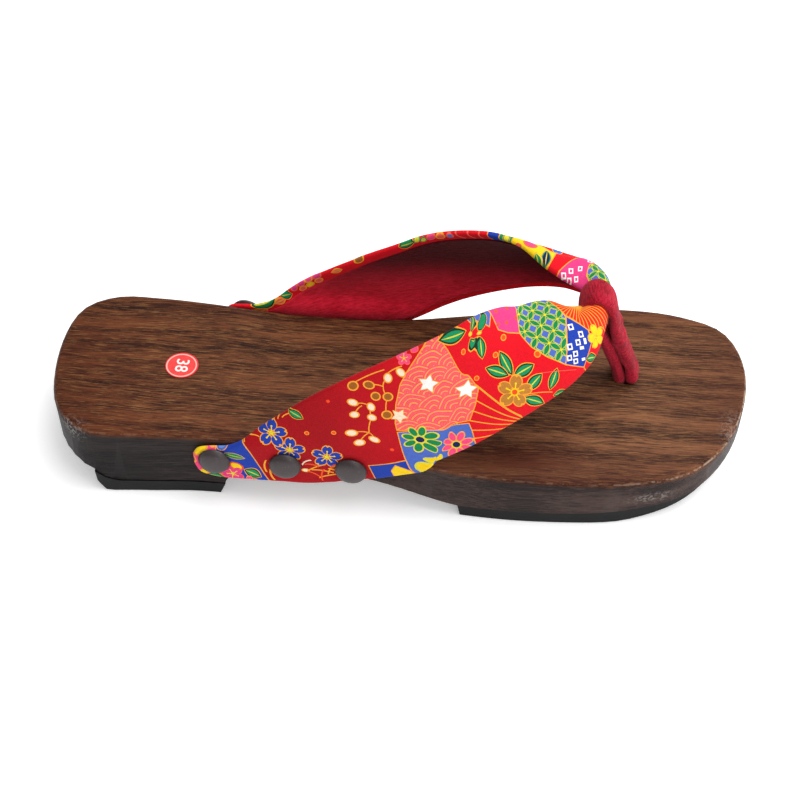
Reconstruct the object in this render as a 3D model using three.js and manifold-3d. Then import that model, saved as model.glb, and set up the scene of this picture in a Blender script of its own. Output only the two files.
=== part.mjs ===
// A right geta sandal: a one-piece wooden board on two rubber pads, with a wide V strap tacked to its sides
// and drawn down to the board by a cloth thong. Millimetres, +Z up. The pieces are drawn with the heel end at
// x = 0, the toes towards +X, the centre line at y = 0, the outer (lateral) side towards -Y and the ground at
// z = 0. The group then moves them so that the origin is on the ground, under the middle of the board.

import * as THREE from "three";
import { mergeVertices } from "three/addons/utils/BufferGeometryUtils.js";
import Module from "manifold-3d";

const wasm = await Module();
wasm.setup();

// Driving dimensions of the board.
const BOARD_LENGTH = 246;
const HEEL_HEIGHT = 30.3;
const TOE_HEIGHT = 19.5;
const EDGE_ROUND = 2;
const EDGE_OUT = 0.6;
const EDGE_ROUND_TURNS = [30, 60, 90];
const HEEL_FLARE = 2.4;
const FLARE_STARTS = [-2, 16];
const FLARE_ENDS = [95, 140];
const FLARE_LIMIT = 1.2;
const WOOD_UNDER = 5.4;
const OUTLINE_STEPS = 132;
const SLAB_WIDTH = 140;
const SLAB_TOP = 45;
const BELOW_GROUND = -2;
const PROFILE_CURVE_STEPS = 14;

// Half widths of the board's top, measured from the centre line at each station along its length.
const PLAN = [
  { x: 4.5, lateral: 22.0, medial: 24.6 },
  { x: 15.5, lateral: 32.0, medial: 31.7 },
  { x: 32, lateral: 32.5, medial: 32.5 },
  { x: 52, lateral: 31.7, medial: 31.3 },
  { x: 75, lateral: 32.7, medial: 29.0 },
  { x: 100, lateral: 33.3, medial: 28.6 },
  { x: 122, lateral: 35.6, medial: 30.0 },
  { x: 145, lateral: 39.4, medial: 34.2 },
  { x: 172, lateral: 41.0, medial: 39.4 },
  { x: 205, lateral: 38.6, medial: 42.9 },
  { x: 225, lateral: 31.2, medial: 41.0 },
  { x: 239.5, lateral: 13.2, medial: 34.6 },
];
const HEEL_TIP = { x: 0, y: 4 };
const TOE_TIP = { x: BOARD_LENGTH, y: 16.5 };
const FOOTPRINT_MIDDLE = { x: BOARD_LENGTH / 2, y: 0.9 };

// Underside of the wood, from the heel end to the toe end.
const REAR_SLANT = [
  { x: -6, z: 15.2 },
  { x: 9, z: 12.5 },
  { x: 16.5, z: 10.3 },
  { x: 20.5, z: 7.1 },
  { x: 25.5, z: 5.6 },
];
const HEEL_BREAST = 62.5;
const ARCH_TOP = { x: 90, z: 15.6 };
const ARCH_REAR_PULLS = [{ x: 65, z: 12 }, { x: 74, z: ARCH_TOP.z }];
const ARCH_FRONT_PULLS = [{ x: 115, z: ARCH_TOP.z }, { x: 126, z: 8 }];
const TREAD_START = 145;
const TREAD_END = 178;
const TOE_PULL = { x: 215, z: 6.2 };
const TOE_UNDER = { x: 252, z: 11.5 };

// Rubber pads.
const FIT = 0.3;
const PAD_REAR = [{ x: 16.8, z: 9.7 }, { x: 17, z: 4.6 }, { x: 19.6, z: 0 }];
const PAD_BREAST = { top: HEEL_BREAST + 0.2, ground: HEEL_BREAST - 1.9 };
const PAD_TREAD = { top: TREAD_START - 0.3, ground: TREAD_START + 0.6 };
const PAD_FLAT_END = 198;
const PAD_TOE_PULL = { x: 218, z: 0.2 };
const PAD_TOE = { x: 246, under: 5, top: 10.2 };
const PAD_INSET = 0.3;
const PAD_TOE_INSET = { from: 195, to: 228, depth: 2.2 };
const PAD_RISE = 12;

// Strap, tacks, thong and size label.
const STRAP_WALL = 2.6;
const STRAP_STEPS = 84;
const STRAP_LANES = 11;
const STRAP_SEAT = 0.6;
const REAR_RELEASE = 8;
const FRONT_RELEASE = 3;
const HUG_RISE = 0.5;
const DIRECTION_SPAN = 0.01;
const TACK = { radius: 5.6, dome: 2.5, rim: 0.7, rimRound: 0.3, shank: 1.2, depth: 8, point: 1, sides: 24 };
const TACK_DOME_STEPS = 5;
const TACK_SEAT = 0.35;
const TACK_CLEAR = 2;
const TACK_SPAN = { up: 4, along: 6 };
const TACK_HOLE = { radius: 1.6, sides: 12 };
const TACK_ROWS = [
  { side: "lateral", x: [60.8, 85.3, 108.3], z: 20.3 },
  { side: "medial", x: [62, 86, 109], z: 20.3 },
];
const THONG_HOLE = { x: 202.9, y: 9.8, radius: 4.5, collar: 10, sides: 32 };
const THONG_MIDDLE = 6.8;
const THONG_WIDTH = 11.5;
const THONG_ROUND = 1.8;
const THONG_BEVEL = 0.6;
const THONG_NECK = { share: 0.62, from: 20, to: 46 };
const LABEL = { x: 44.6, y: -0.5, radius: 5.9, thick: 0.3, gap: 0.03, sides: 36 };

// The strap's sections, from the outer tacks over the toe thong to the inner tacks. front is the lower edge,
// rear is the upper edge, puff is how far the cloth arches out between them, and wall is its thickness.
const LATERAL_SECTIONS = [
  { front: [53.0, -35.6, 17.2], rear: [53.0, -35.2, 21.8], puff: 0.2, wall: 2.4 },
  { front: [55.4, -35.9, 13.2], rear: [55.2, -34.9, 24.6], puff: 0.4, wall: 2.6 },
  { front: [60, -36.0, 11.6], rear: [59.5, -34.5, 25.7], puff: 0.4, wall: 2.6 },
  { front: [66, -36.0, 11.2], rear: [65.2, -34.0, 26.8], puff: 0.4, wall: 2.6 },
  { front: [74, -36.0, 11.4], rear: [72.5, -32.9, 31.2], puff: 0.6, wall: 2.6 },
  { front: [83, -36.0, 11.3], rear: [82.5, -31.8, 39.6], puff: 1.2, wall: 2.6 },
  { front: [93, -36.0, 11.2], rear: [95, -30.6, 49.8], puff: 1.8, wall: 2.6 },
  { front: [104, -36.5, 13.2], rear: [110, -28.9, 59.6], puff: 2.2, wall: 2.6 },
  { front: [115, -37.2, 16.2], rear: [125, -26.8, 68.2], puff: 2.6, wall: 2.6 },
  { front: [125.5, -38.0, 20.6], rear: [139, -23.2, 75.0], puff: 3.0, wall: 2.6 },
  { front: [136, -37.2, 26.2], rear: [149, -18.2, 78.6], puff: 3.6, wall: 2.6 },
  { front: [148, -36.2, 34.0], rear: [156.5, -11.0, 75.2], puff: 5.2, wall: 2.6 },
  { front: [160, -33.4, 41.6], rear: [161.8, -5.0, 69.6], puff: 7.2, wall: 2.6 },
  { front: [171, -27.6, 46.4], rear: [166.5, -0.8, 66.6], puff: 8.4, wall: 2.8 },
  { front: [181, -20.2, 50.0], rear: [172, 2.2, 64.2], puff: 8.4, wall: 3.0 },
  { front: [187.8, -11.6, 52.8], rear: [177.4, 1.6, 62.4], puff: 7.0, wall: 3.0 },
  { front: [190.8, -3.6, 56.4], rear: [182.8, 3.6, 60.6], puff: 5.8, wall: 2.6 },
];
const KNOT_SECTION = { front: [193.0, 6.4, 58.6], rear: [186.2, 7.2, 59.4], puff: 4.6, wall: 2.4 };
const MEDIAL_SECTIONS = [
  { front: [193.4, 13.8, 56.0], rear: [184.4, 11.6, 60.6], puff: 6.4, wall: 2.6 },
  { front: [191.6, 19.8, 49.8], rear: [177.4, 15.2, 62.6], puff: 8.6, wall: 3.0 },
  { front: [187.4, 26.0, 45.0], rear: [171, 19.0, 64.6], puff: 8.0, wall: 3.0 },
  { front: [179, 30.8, 43.4], rear: [163, 24.2, 68.2], puff: 5.4, wall: 2.8 },
  { front: [168, 33.3, 40.8], rear: [155, 28.2, 69.6], puff: 3.4, wall: 2.6 },
  { front: [156, 34.8, 36.4], rear: [145, 31.0, 68.4], puff: 2.4, wall: 2.6 },
  { front: [144, 35.4, 31.2], rear: [133, 32.6, 65.4], puff: 2.0, wall: 2.6 },
  { front: [134, 34.6, 26.4], rear: [122, 33.0, 60.2], puff: 1.8, wall: 2.6 },
  { front: [124.5, 32.8, 21.6], rear: [110, 33.0, 54.4], puff: 1.6, wall: 2.6 },
  { front: [114.5, 32.0, 16.6], rear: [97, 33.0, 47.4], puff: 1.4, wall: 2.6 },
  { front: [104, 31.8, 13.2], rear: [85, 32.8, 39.8], puff: 1.0, wall: 2.6 },
  { front: [93, 31.8, 11.2], rear: [75, 32.4, 31.6], puff: 0.8, wall: 2.6 },
  { front: [80, 32.6, 11.3], rear: [67, 32.4, 27.0], puff: 0.6, wall: 2.6 },
  { front: [70, 33.4, 11.3], rear: [61.5, 33.2, 26.0], puff: 0.4, wall: 2.6 },
  { front: [60.5, 34.4, 12.2], rear: [57.2, 33.8, 25.0], puff: 0.4, wall: 2.6 },
  { front: [55.2, 35.2, 16.6], rear: [54.6, 34.6, 22.2], puff: 0.2, wall: 2.4 },
];

// The thong's side view: its outside runs up the front of the stem, over the knot and back under it to the
// stem, and its eye holds the gathered strap.
const THONG_FOOT = { z: 6.8, rear: 199.7, front: 206.1 };
const THONG_OUTSIDE = [
  { x: 206.1, z: 20.6 },
  { x: 206.8, z: 25 },
  { x: 204.4, z: 34 },
  { x: 201.8, z: 41 },
  { x: 200.2, z: 48 },
  { x: 198.6, z: 55.5 },
  { x: 196.6, z: 62.4 },
  { x: 193.2, z: 66.8 },
  { x: 189.6, z: 68.4 },
  { x: 185.8, z: 67.0 },
  { x: 183.2, z: 63.2 },
  { x: 183.0, z: 57.4 },
  { x: 186.4, z: 51.4 },
  { x: 190.8, z: 46.8 },
  { x: 194.0, z: 40.6 },
  { x: 196.6, z: 32 },
  { x: 198.6, z: 24.5 },
  { x: 199.7, z: 20.6 },
];
const THONG_EYE = [
  { x: 195.2, z: 54 },
  { x: 194.4, z: 60 },
  { x: 192.2, z: 64 },
  { x: 189.4, z: 65.2 },
  { x: 187.0, z: 63.6 },
  { x: 186.0, z: 59.6 },
  { x: 187.4, z: 55 },
  { x: 191.6, z: 51.6 },
];

const clamp = THREE.MathUtils.clamp;
const lerp = THREE.MathUtils.lerp;
const smoothstep = THREE.MathUtils.smoothstep;

function topHeight(x) {
  return lerp(HEEL_HEIGHT, TOE_HEIGHT, x / BOARD_LENGTH);
}

// A closed triangle geometry as a solid that can be joined and cut.
function solidFrom(geometry) {
  const bare = geometry.clone();
  bare.deleteAttribute("normal");
  bare.deleteAttribute("uv");
  const merged = mergeVertices(bare, 1e-4);
  return new wasm.Manifold(
    new wasm.Mesh({
      numProp: 3,
      vertProperties: new Float32Array(merged.attributes.position.array),
      triVerts: new Uint32Array(merged.index.array),
    }),
  );
}

function geometryFrom(solid) {
  const mesh = solid.getMesh();
  const geometry = new THREE.BufferGeometry();
  geometry.setAttribute("position", new THREE.BufferAttribute(new Float32Array(mesh.vertProperties), 3));
  geometry.setIndex(new THREE.BufferAttribute(new Uint32Array(mesh.triVerts), 1));
  geometry.computeVertexNormals();
  return geometry;
}

// A closed solid from rings of points, each ring running anticlockwise seen from the next one.
function loft(rings, closeEnds) {
  const count = rings[0].length;
  const positions = rings.flat().flatMap((p) => [p.x, p.y, p.z]);
  const indices = [];
  for (let r = 0; r + 1 < rings.length; r += 1) {
    for (let i = 0; i < count; i += 1) {
      const next = (i + 1) % count;
      const low = r * count;
      const high = low + count;
      indices.push(low + i, low + next, high + next);
      indices.push(low + i, high + next, high + i);
    }
  }
  closeEnds(rings, indices);
  const geometry = new THREE.BufferGeometry();
  geometry.setAttribute("position", new THREE.Float32BufferAttribute(positions, 3));
  geometry.setIndex(indices);
  return geometry;
}

// Flat lids for rings that are outlines seen from above, the first ring lowest.
function outlineLids(rings, indices) {
  const last = (rings.length - 1) * rings[0].length;
  const bottom = THREE.ShapeUtils.triangulateShape(rings[0].map((p) => new THREE.Vector2(p.x, p.y)), []);
  const top = THREE.ShapeUtils.triangulateShape(rings.at(-1).map((p) => new THREE.Vector2(p.x, p.y)), []);
  for (const [a, b, c] of bottom) {
    indices.push(a, c, b);
  }
  for (const [a, b, c] of top) {
    indices.push(last + a, last + b, last + c);
  }
}

// The board's outline seen from above, as evenly spaced points with their outward directions.
function boardOutline() {
  const corners = [new THREE.Vector3(HEEL_TIP.x, HEEL_TIP.y, 0)];
  for (const row of PLAN) {
    corners.push(new THREE.Vector3(row.x, -row.lateral, 0));
  }
  corners.push(new THREE.Vector3(TOE_TIP.x, TOE_TIP.y, 0));
  for (const row of [...PLAN].reverse()) {
    corners.push(new THREE.Vector3(row.x, row.medial, 0));
  }
  const curve = new THREE.CatmullRomCurve3(corners, true, "centripetal");
  curve.arcLengthDivisions = 1200;
  const outline = [];
  for (let i = 0; i < OUTLINE_STEPS; i += 1) {
    const point = curve.getPointAt(i / OUTLINE_STEPS);
    const along = curve.getTangentAt(i / OUTLINE_STEPS);
    outline.push({ x: point.x, y: point.y, outX: along.y, outY: -along.x });
  }
  return outline;
}

const OUTLINE = boardOutline();

function ringAt(offsetOf, heightOf) {
  return OUTLINE.map((p) => {
    const out = offsetOf(p);
    const x = p.x + out * p.outX;
    const y = p.y + out * p.outY;
    return new THREE.Vector3(x, y, heightOf(p.x));
  });
}

// How far the side leans out below the top edge: the heel flares, the forefoot is upright.
function flareAt(x, z) {
  const share = smoothstep(x, ...FLARE_STARTS) * (1 - smoothstep(x, ...FLARE_ENDS));
  return EDGE_OUT + HEEL_FLARE * share * clamp(1 - z / topHeight(x), 0, FLARE_LIMIT);
}

// The side's distance from the centre line at a station and height, for either side of the board.
function sideDistance(side, x, z) {
  const sign = side === "lateral" ? -1 : 1;
  let reach = 0;
  for (let i = 0; i < OUTLINE.length; i += 1) {
    const a = OUTLINE[i];
    const b = OUTLINE[(i + 1) % OUTLINE.length];
    const crosses = (a.x - x) * (b.x - x) <= 0 && a.x !== b.x;
    if (crosses) {
      const y = lerp(a.y, b.y, (x - a.x) / (b.x - a.x));
      reach = Math.max(reach, sign * y);
    }
  }
  return reach + flareAt(x, z);
}

// A slab across the whole width whose side view is the given shape, with x along the board and y up.
function profileSlab(shape) {
  const geometry = new THREE.ExtrudeGeometry(shape, {
    depth: SLAB_WIDTH,
    bevelEnabled: false,
    curveSegments: PROFILE_CURVE_STEPS,
  });
  geometry.rotateX(Math.PI / 2);
  geometry.translate(0, SLAB_WIDTH / 2, 0);
  return solidFrom(geometry);
}

function woodProfile() {
  const shape = new THREE.Shape();
  const [rear, ...slant] = REAR_SLANT;
  shape.moveTo(rear.x, rear.z);
  for (const point of slant) {
    shape.lineTo(point.x, point.z);
  }
  shape.lineTo(HEEL_BREAST, WOOD_UNDER);
  const [breast, rise] = ARCH_REAR_PULLS;
  shape.bezierCurveTo(breast.x, breast.z, rise.x, rise.z, ARCH_TOP.x, ARCH_TOP.z);
  const [fall, tread] = ARCH_FRONT_PULLS;
  shape.bezierCurveTo(fall.x, fall.z, tread.x, tread.z, TREAD_START, WOOD_UNDER);
  shape.lineTo(TREAD_END, WOOD_UNDER);
  shape.quadraticCurveTo(TOE_PULL.x, TOE_PULL.z, TOE_UNDER.x, TOE_UNDER.z);
  shape.lineTo(TOE_UNDER.x, SLAB_TOP);
  shape.lineTo(rear.x, SLAB_TOP);
  return shape;
}

function heelPadProfile() {
  const shape = new THREE.Shape();
  const [slantTop, slantEnd] = REAR_SLANT.slice(3);
  shape.moveTo(PAD_BREAST.ground, 0);
  shape.lineTo(PAD_BREAST.top, WOOD_UNDER - FIT);
  shape.lineTo(slantEnd.x, slantEnd.z - FIT);
  shape.lineTo(slantTop.x, slantTop.z - FIT);
  for (const point of PAD_REAR) {
    shape.lineTo(point.x, point.z);
  }
  return shape;
}

function forefootPadProfile() {
  const shape = new THREE.Shape();
  shape.moveTo(PAD_TREAD.ground, 0);
  shape.lineTo(PAD_FLAT_END, 0);
  shape.quadraticCurveTo(PAD_TOE_PULL.x, PAD_TOE_PULL.z, PAD_TOE.x, PAD_TOE.under);
  shape.lineTo(PAD_TOE.x, PAD_TOE.top);
  shape.quadraticCurveTo(TOE_PULL.x, TOE_PULL.z - FIT, TREAD_END, WOOD_UNDER - FIT);
  shape.lineTo(PAD_TREAD.top, WOOD_UNDER - FIT);
  return shape;
}

function axisCylinder(radius, length, point, direction, sides) {
  const geometry = new THREE.CylinderGeometry(radius, radius, length, sides);
  const turn = new THREE.Quaternion().setFromUnitVectors(new THREE.Vector3(0, 1, 0), direction);
  geometry.applyQuaternion(turn);
  geometry.translate(point.x, point.y, point.z);
  return solidFrom(geometry);
}

// Each tack's place on the board's side and the direction in which its head faces.
function tackPlaces() {
  const places = [];
  for (const row of TACK_ROWS) {
    const sign = row.side === "lateral" ? -1 : 1;
    row.x.forEach((x, index) => {
      const reach = sideDistance(row.side, x, row.z);
      const { up, along } = TACK_SPAN;
      const widen = sideDistance(row.side, x, row.z - up) - sideDistance(row.side, x, row.z + up);
      const turn = sideDistance(row.side, x + along, row.z) - sideDistance(row.side, x - along, row.z);
      const out = new THREE.Vector3(-turn / (2 * along), sign, widen / (2 * up)).normalize();
      const wall = new THREE.Vector3(x, sign * reach, row.z);
      places.push({ name: `nail_${row.side}_${index + 1}`, wall, out });
    });
  }
  return places;
}

const TACKS = tackPlaces();

// Holes for the tacks' shanks, from one distance outside the board's side to another.
function tackHoles(from, to) {
  return TACKS.map(({ wall, out }) => {
    const middle = wall.clone().addScaledVector(out, (from + to) / 2);
    return axisCylinder(TACK_HOLE.radius, to - from, middle, out, TACK_HOLE.sides);
  });
}

function soleBoard() {
  const heights = [
    { out: (p) => flareAt(p.x, 0), up: () => BELOW_GROUND },
    { out: (p) => flareAt(p.x, topHeight(p.x) - EDGE_ROUND), up: (x) => topHeight(x) - EDGE_ROUND },
  ];
  const rings = heights.map((level) => ringAt(level.out, level.up));
  for (const angle of EDGE_ROUND_TURNS) {
    const turn = THREE.MathUtils.degToRad(angle);
    const inward = EDGE_ROUND * (1 - Math.cos(turn));
    const rise = EDGE_ROUND * (1 - Math.sin(turn));
    rings.push(ringAt(() => EDGE_OUT - inward, (x) => topHeight(x) - rise));
  }
  let wood = solidFrom(loft(rings, outlineLids));
  wood = wood.intersect(profileSlab(woodProfile()));
  const { x, y, radius, sides } = THONG_HOLE;
  const hole = new THREE.Vector3(x, y, SLAB_TOP / 2);
  wood = wood.subtract(axisCylinder(radius, SLAB_TOP - BELOW_GROUND, hole, new THREE.Vector3(0, 0, 1), sides));
  for (const cut of tackHoles(-TACK.depth - TACK_CLEAR, TACK_CLEAR)) {
    wood = wood.subtract(cut);
  }
  return geometryFrom(wood);
}

// A rubber pad: the board's outline drawn in a little, cut to the pad's side view.
function rubberPad(profile) {
  const drawnIn = (x) => PAD_INSET + PAD_TOE_INSET.depth * smoothstep(x, PAD_TOE_INSET.from, PAD_TOE_INSET.to);
  const inset = (p) => flareAt(p.x, 0) - drawnIn(p.x);
  const rings = [ringAt(inset, () => BELOW_GROUND), ringAt(inset, () => PAD_RISE)];
  return geometryFrom(solidFrom(loft(rings, outlineLids)).intersect(profileSlab(profile)));
}

// A smooth value through a column of the section table.
function columnCurve(rows, pick) {
  const points = rows.map((row) => new THREE.Vector3(...pick(row)));
  return new THREE.CatmullRomCurve3(points, false, "catmullrom", 0.5);
}

// Lays a point of the strap against the board's side, up to the top edge where the strap comes free.
function hugSide(point, wall) {
  const side = point.y < 0 ? "lateral" : "medial";
  const sign = point.y < 0 ? -1 : 1;
  const seat = sign * (sideDistance(side, point.x, point.z) + STRAP_SEAT + wall / 2);
  const top = topHeight(point.x);
  const release = lerp(REAR_RELEASE, FRONT_RELEASE, smoothstep(point.x, TACK_ROWS[0].x[2], TREAD_START));
  const weight = 1 - smoothstep(point.z, top + HUG_RISE, top + release);
  point.y = lerp(point.y, seat, weight);
}

// The strap's middle surface as a grid: a row of points from front to rear edge for each step along it.
function strapGrid() {
  const rows = [...LATERAL_SECTIONS, KNOT_SECTION, ...MEDIAL_SECTIONS];
  const front = columnCurve(rows, (row) => row.front);
  const rear = columnCurve(rows, (row) => row.rear);
  const sizes = columnCurve(rows, (row) => [row.puff, row.wall, 0]);
  const grid = [];
  for (let i = 0; i <= STRAP_STEPS; i += 1) {
    const t = i / STRAP_STEPS;
    const low = front.getPoint(t);
    const high = rear.getPoint(t);
    const size = sizes.getPoint(t);
    const ahead = Math.min(1, t + DIRECTION_SPAN);
    const behind = Math.max(0, t - DIRECTION_SPAN);
    const along = front.getPoint(ahead).add(rear.getPoint(ahead));
    along.sub(front.getPoint(behind)).sub(rear.getPoint(behind)).normalize();
    const out = new THREE.Vector3().subVectors(low, high).cross(along).normalize();
    const lane = [];
    for (let j = 0; j < STRAP_LANES; j += 1) {
      const s = j / (STRAP_LANES - 1);
      const point = new THREE.Vector3().lerpVectors(low, high, s);
      point.addScaledVector(out, size.x * 4 * s * (1 - s));
      hugSide(point, size.y);
      lane.push(point);
    }
    grid.push({ lane, wall: size.y });
  }
  return grid;
}

function gridNormal(grid, i, j) {
  const before = grid[Math.max(0, i - 1)].lane[j];
  const after = grid[Math.min(grid.length - 1, i + 1)].lane[j];
  const below = grid[i].lane[Math.max(0, j - 1)];
  const above = grid[i].lane[Math.min(STRAP_LANES - 1, j + 1)];
  const along = new THREE.Vector3().subVectors(after, before);
  const across = new THREE.Vector3().subVectors(below, above);
  return across.cross(along).normalize();
}

// Lids for rings whose second half runs back along the first half, the way a flattened loop does.
function bandLids(rings, indices) {
  const count = rings[0].length;
  const last = (rings.length - 1) * count;
  for (let a = 0; a + 1 < count / 2; a += 1) {
    const b = a + 1;
    const c = count - 2 - a;
    const d = count - 1 - a;
    indices.push(b, a, d);
    indices.push(b, d, c);
    indices.push(last + a, last + b, last + c);
    indices.push(last + a, last + c, last + d);
  }
}

// The strap as a solid, grown all round by a clearance where another piece is cut to clear it.
function strapSolid(clearance) {
  const grid = strapGrid();
  const rings = grid.map(({ lane, wall }, i) => {
    const half = wall / 2 + clearance;
    const normals = lane.map((point, j) => gridNormal(grid, i, j));
    const across = new THREE.Vector3().subVectors(lane[0], lane.at(-1)).setLength(clearance);
    const spread = lane.map((point) => point.clone());
    spread[0].add(across);
    spread.at(-1).sub(across);
    const outer = spread.map((point, j) => point.clone().addScaledVector(normals[j], half));
    const inner = spread.map((point, j) => point.clone().addScaledVector(normals[j], -half));
    return [...inner, ...outer.reverse()];
  });
  return solidFrom(loft(rings, bandLids));
}

function strapBand() {
  let band = strapSolid(0);
  for (const cut of tackHoles(-TACK_CLEAR, STRAP_WALL + STRAP_SEAT + TACK_CLEAR)) {
    band = band.subtract(cut);
  }
  return geometryFrom(band);
}

function sidePoint(row) {
  return new THREE.Vector2(row.x, row.z);
}

function thongShape() {
  const shape = new THREE.Shape();
  shape.moveTo(THONG_FOOT.front, THONG_FOOT.z);
  shape.lineTo(THONG_OUTSIDE[0].x, THONG_OUTSIDE[0].z);
  shape.splineThru(THONG_OUTSIDE.slice(1).map(sidePoint));
  shape.lineTo(THONG_FOOT.rear, THONG_FOOT.z);
  const eye = new THREE.Path();
  eye.moveTo(THONG_EYE[0].x, THONG_EYE[0].z);
  eye.splineThru([...THONG_EYE.slice(1), THONG_EYE[0]].map(sidePoint));
  shape.holes.push(eye);
  return shape;
}

// Everything round the board's hole that the thong has to stay clear of.
function holeCollar() {
  const { x, y, radius, collar, sides } = THONG_HOLE;
  const height = topHeight(x - collar) + FIT;
  const middle = new THREE.Vector3(x, y, height / 2);
  const up = new THREE.Vector3(0, 0, 1);
  const bore = axisCylinder(radius - FIT, SLAB_TOP, middle, up, sides);
  return axisCylinder(collar, height, middle, up, sides).subtract(bore);
}

function toeThong() {
  const depth = THONG_WIDTH - 2 * THONG_ROUND;
  const geometry = new THREE.ExtrudeGeometry(thongShape(), {
    depth,
    bevelEnabled: true,
    bevelThickness: THONG_ROUND,
    bevelSize: THONG_ROUND * THONG_BEVEL,
    bevelOffset: -THONG_ROUND * THONG_BEVEL,
    bevelSegments: 3,
    curveSegments: 2,
  });
  geometry.rotateX(Math.PI / 2);
  geometry.translate(0, depth / 2, 0);
  const position = geometry.attributes.position;
  for (let i = 0; i < position.count; i += 1) {
    const rise = smoothstep(position.getZ(i), THONG_NECK.from, THONG_NECK.to);
    const slim = lerp(THONG_NECK.share, 1, rise);
    position.setY(i, lerp(THONG_HOLE.y, THONG_MIDDLE, rise) + slim * position.getY(i));
  }
  return geometryFrom(solidFrom(geometry).subtract(strapSolid(FIT)).subtract(holeCollar()));
}

// A domed tack head with its shank, made along +Y and then turned to face out of the board's side.
function tackGeometry({ wall, out }) {
  const { radius, dome, rim, rimRound, shank, depth, point, sides } = TACK;
  const base = STRAP_SEAT + STRAP_WALL + TACK_SEAT;
  const profile = [new THREE.Vector2(0, -depth), new THREE.Vector2(shank, -depth + point)];
  profile.push(new THREE.Vector2(shank, base), new THREE.Vector2(radius, base));
  profile.push(new THREE.Vector2(radius, base + rim / 2));
  for (let i = 0; i < TACK_DOME_STEPS; i += 1) {
    const turn = (i / TACK_DOME_STEPS) * (Math.PI / 2);
    const across = (radius - rimRound) * Math.cos(turn);
    profile.push(new THREE.Vector2(across, base + rim + (dome - rim) * Math.sin(turn)));
  }
  profile.push(new THREE.Vector2(0, base + dome));
  const geometry = new THREE.LatheGeometry(profile, sides);
  const turn = new THREE.Quaternion().setFromUnitVectors(new THREE.Vector3(0, 1, 0), out);
  geometry.applyQuaternion(turn);
  geometry.translate(wall.x, wall.y, wall.z);
  return geometryFrom(solidFrom(geometry));
}

function sizeLabel() {
  const slope = Math.atan((HEEL_HEIGHT - TOE_HEIGHT) / BOARD_LENGTH);
  const geometry = new THREE.CylinderGeometry(LABEL.radius, LABEL.radius, LABEL.thick, LABEL.sides);
  geometry.rotateX(Math.PI / 2);
  geometry.rotateY(slope);
  geometry.translate(LABEL.x, LABEL.y, topHeight(LABEL.x) + LABEL.thick / 2 + LABEL.gap);
  return geometryFrom(solidFrom(geometry));
}

const FINISH = {
  wood: new THREE.MeshStandardMaterial({ color: 0x5c3a26, roughness: 0.5, metalness: 0 }),
  rubber: new THREE.MeshStandardMaterial({ color: 0x1d1d1f, roughness: 0.75, metalness: 0 }),
  print: new THREE.MeshStandardMaterial({ color: 0xd01f2b, roughness: 0.85, metalness: 0 }),
  crepe: new THREE.MeshStandardMaterial({ color: 0x9c1428, roughness: 0.95, metalness: 0 }),
  bronze: new THREE.MeshStandardMaterial({ color: 0x564c49, roughness: 0.4, metalness: 0.8 }),
  paper: new THREE.MeshStandardMaterial({ color: 0xdf3a3c, roughness: 0.6, metalness: 0 }),
};

const sandal = new THREE.Group();
sandal.position.set(-FOOTPRINT_MIDDLE.x, -FOOTPRINT_MIDDLE.y, 0);

function addPiece(name, geometry, material) {
  const mesh = new THREE.Mesh(geometry, material.clone());
  mesh.name = name;
  sandal.add(mesh);
}

addPiece("sole_board", soleBoard(), FINISH.wood);
addPiece("heel_rubber", rubberPad(heelPadProfile()), FINISH.rubber);
addPiece("forefoot_rubber", rubberPad(forefootPadProfile()), FINISH.rubber);
addPiece("strap", strapBand(), FINISH.print);
addPiece("toe_thong", toeThong(), FINISH.crepe);
for (const place of TACKS) {
  addPiece(place.name, tackGeometry(place), FINISH.bronze);
}
addPiece("size_label", sizeLabel(), FINISH.paper);

export default sandal;
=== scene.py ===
# %% [markdown]
# # A right geta sandal
# A geta is a wooden sandal. This one has a one-piece board on two rubber pads, and a wide printed strap that
# is tacked to the board's sides and drawn down to its middle by a cloth thong. The sizes come from the packed
# CAD model, which is loaded first as the frame. Each visible piece is then built round it.

# %% Load the frame
import math
import bpy
from mathutils import Matrix, Vector
from mathutils.bvhtree import BVHTree


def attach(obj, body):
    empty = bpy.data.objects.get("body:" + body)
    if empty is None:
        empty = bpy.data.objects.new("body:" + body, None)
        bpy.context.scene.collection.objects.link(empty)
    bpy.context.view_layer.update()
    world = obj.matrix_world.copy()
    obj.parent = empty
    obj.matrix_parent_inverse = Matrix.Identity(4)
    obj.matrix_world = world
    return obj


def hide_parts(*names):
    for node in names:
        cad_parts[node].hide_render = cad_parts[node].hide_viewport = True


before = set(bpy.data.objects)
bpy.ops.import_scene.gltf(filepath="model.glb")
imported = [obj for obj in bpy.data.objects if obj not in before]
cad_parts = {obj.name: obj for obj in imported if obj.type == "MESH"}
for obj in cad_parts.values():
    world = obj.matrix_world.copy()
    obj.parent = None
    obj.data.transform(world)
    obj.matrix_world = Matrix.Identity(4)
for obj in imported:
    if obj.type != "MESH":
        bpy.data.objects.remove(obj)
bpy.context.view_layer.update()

# %% [markdown]
# The shoe is measured in millimetres from the back of the heel, with y = 0 on its centre line and the outer
# side at -y. Blender works in metres, from the middle of the board, so one small function carries a point
# over.

# %% The shoe's own sizes
BOARD_LENGTH = 246.0
HEEL_TOP = 30.3
TOE_TOP = 19.5
FOOTPRINT_MIDDLE = (123.0, 0.9)
MM = 0.001


def at(x, y, z):
    return Vector(((x - FOOTPRINT_MIDDLE[0]) * MM, (y - FOOTPRINT_MIDDLE[1]) * MM, z * MM))


def mix(a, b, share):
    return a + (b - a) * share


def ease(value, low, high):
    share = min(1.0, max(0.0, (value - low) / (high - low)))
    return share * share * (3 - 2 * share)


def board_top(x):
    return mix(HEEL_TOP, TOE_TOP, x / BOARD_LENGTH)


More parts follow.
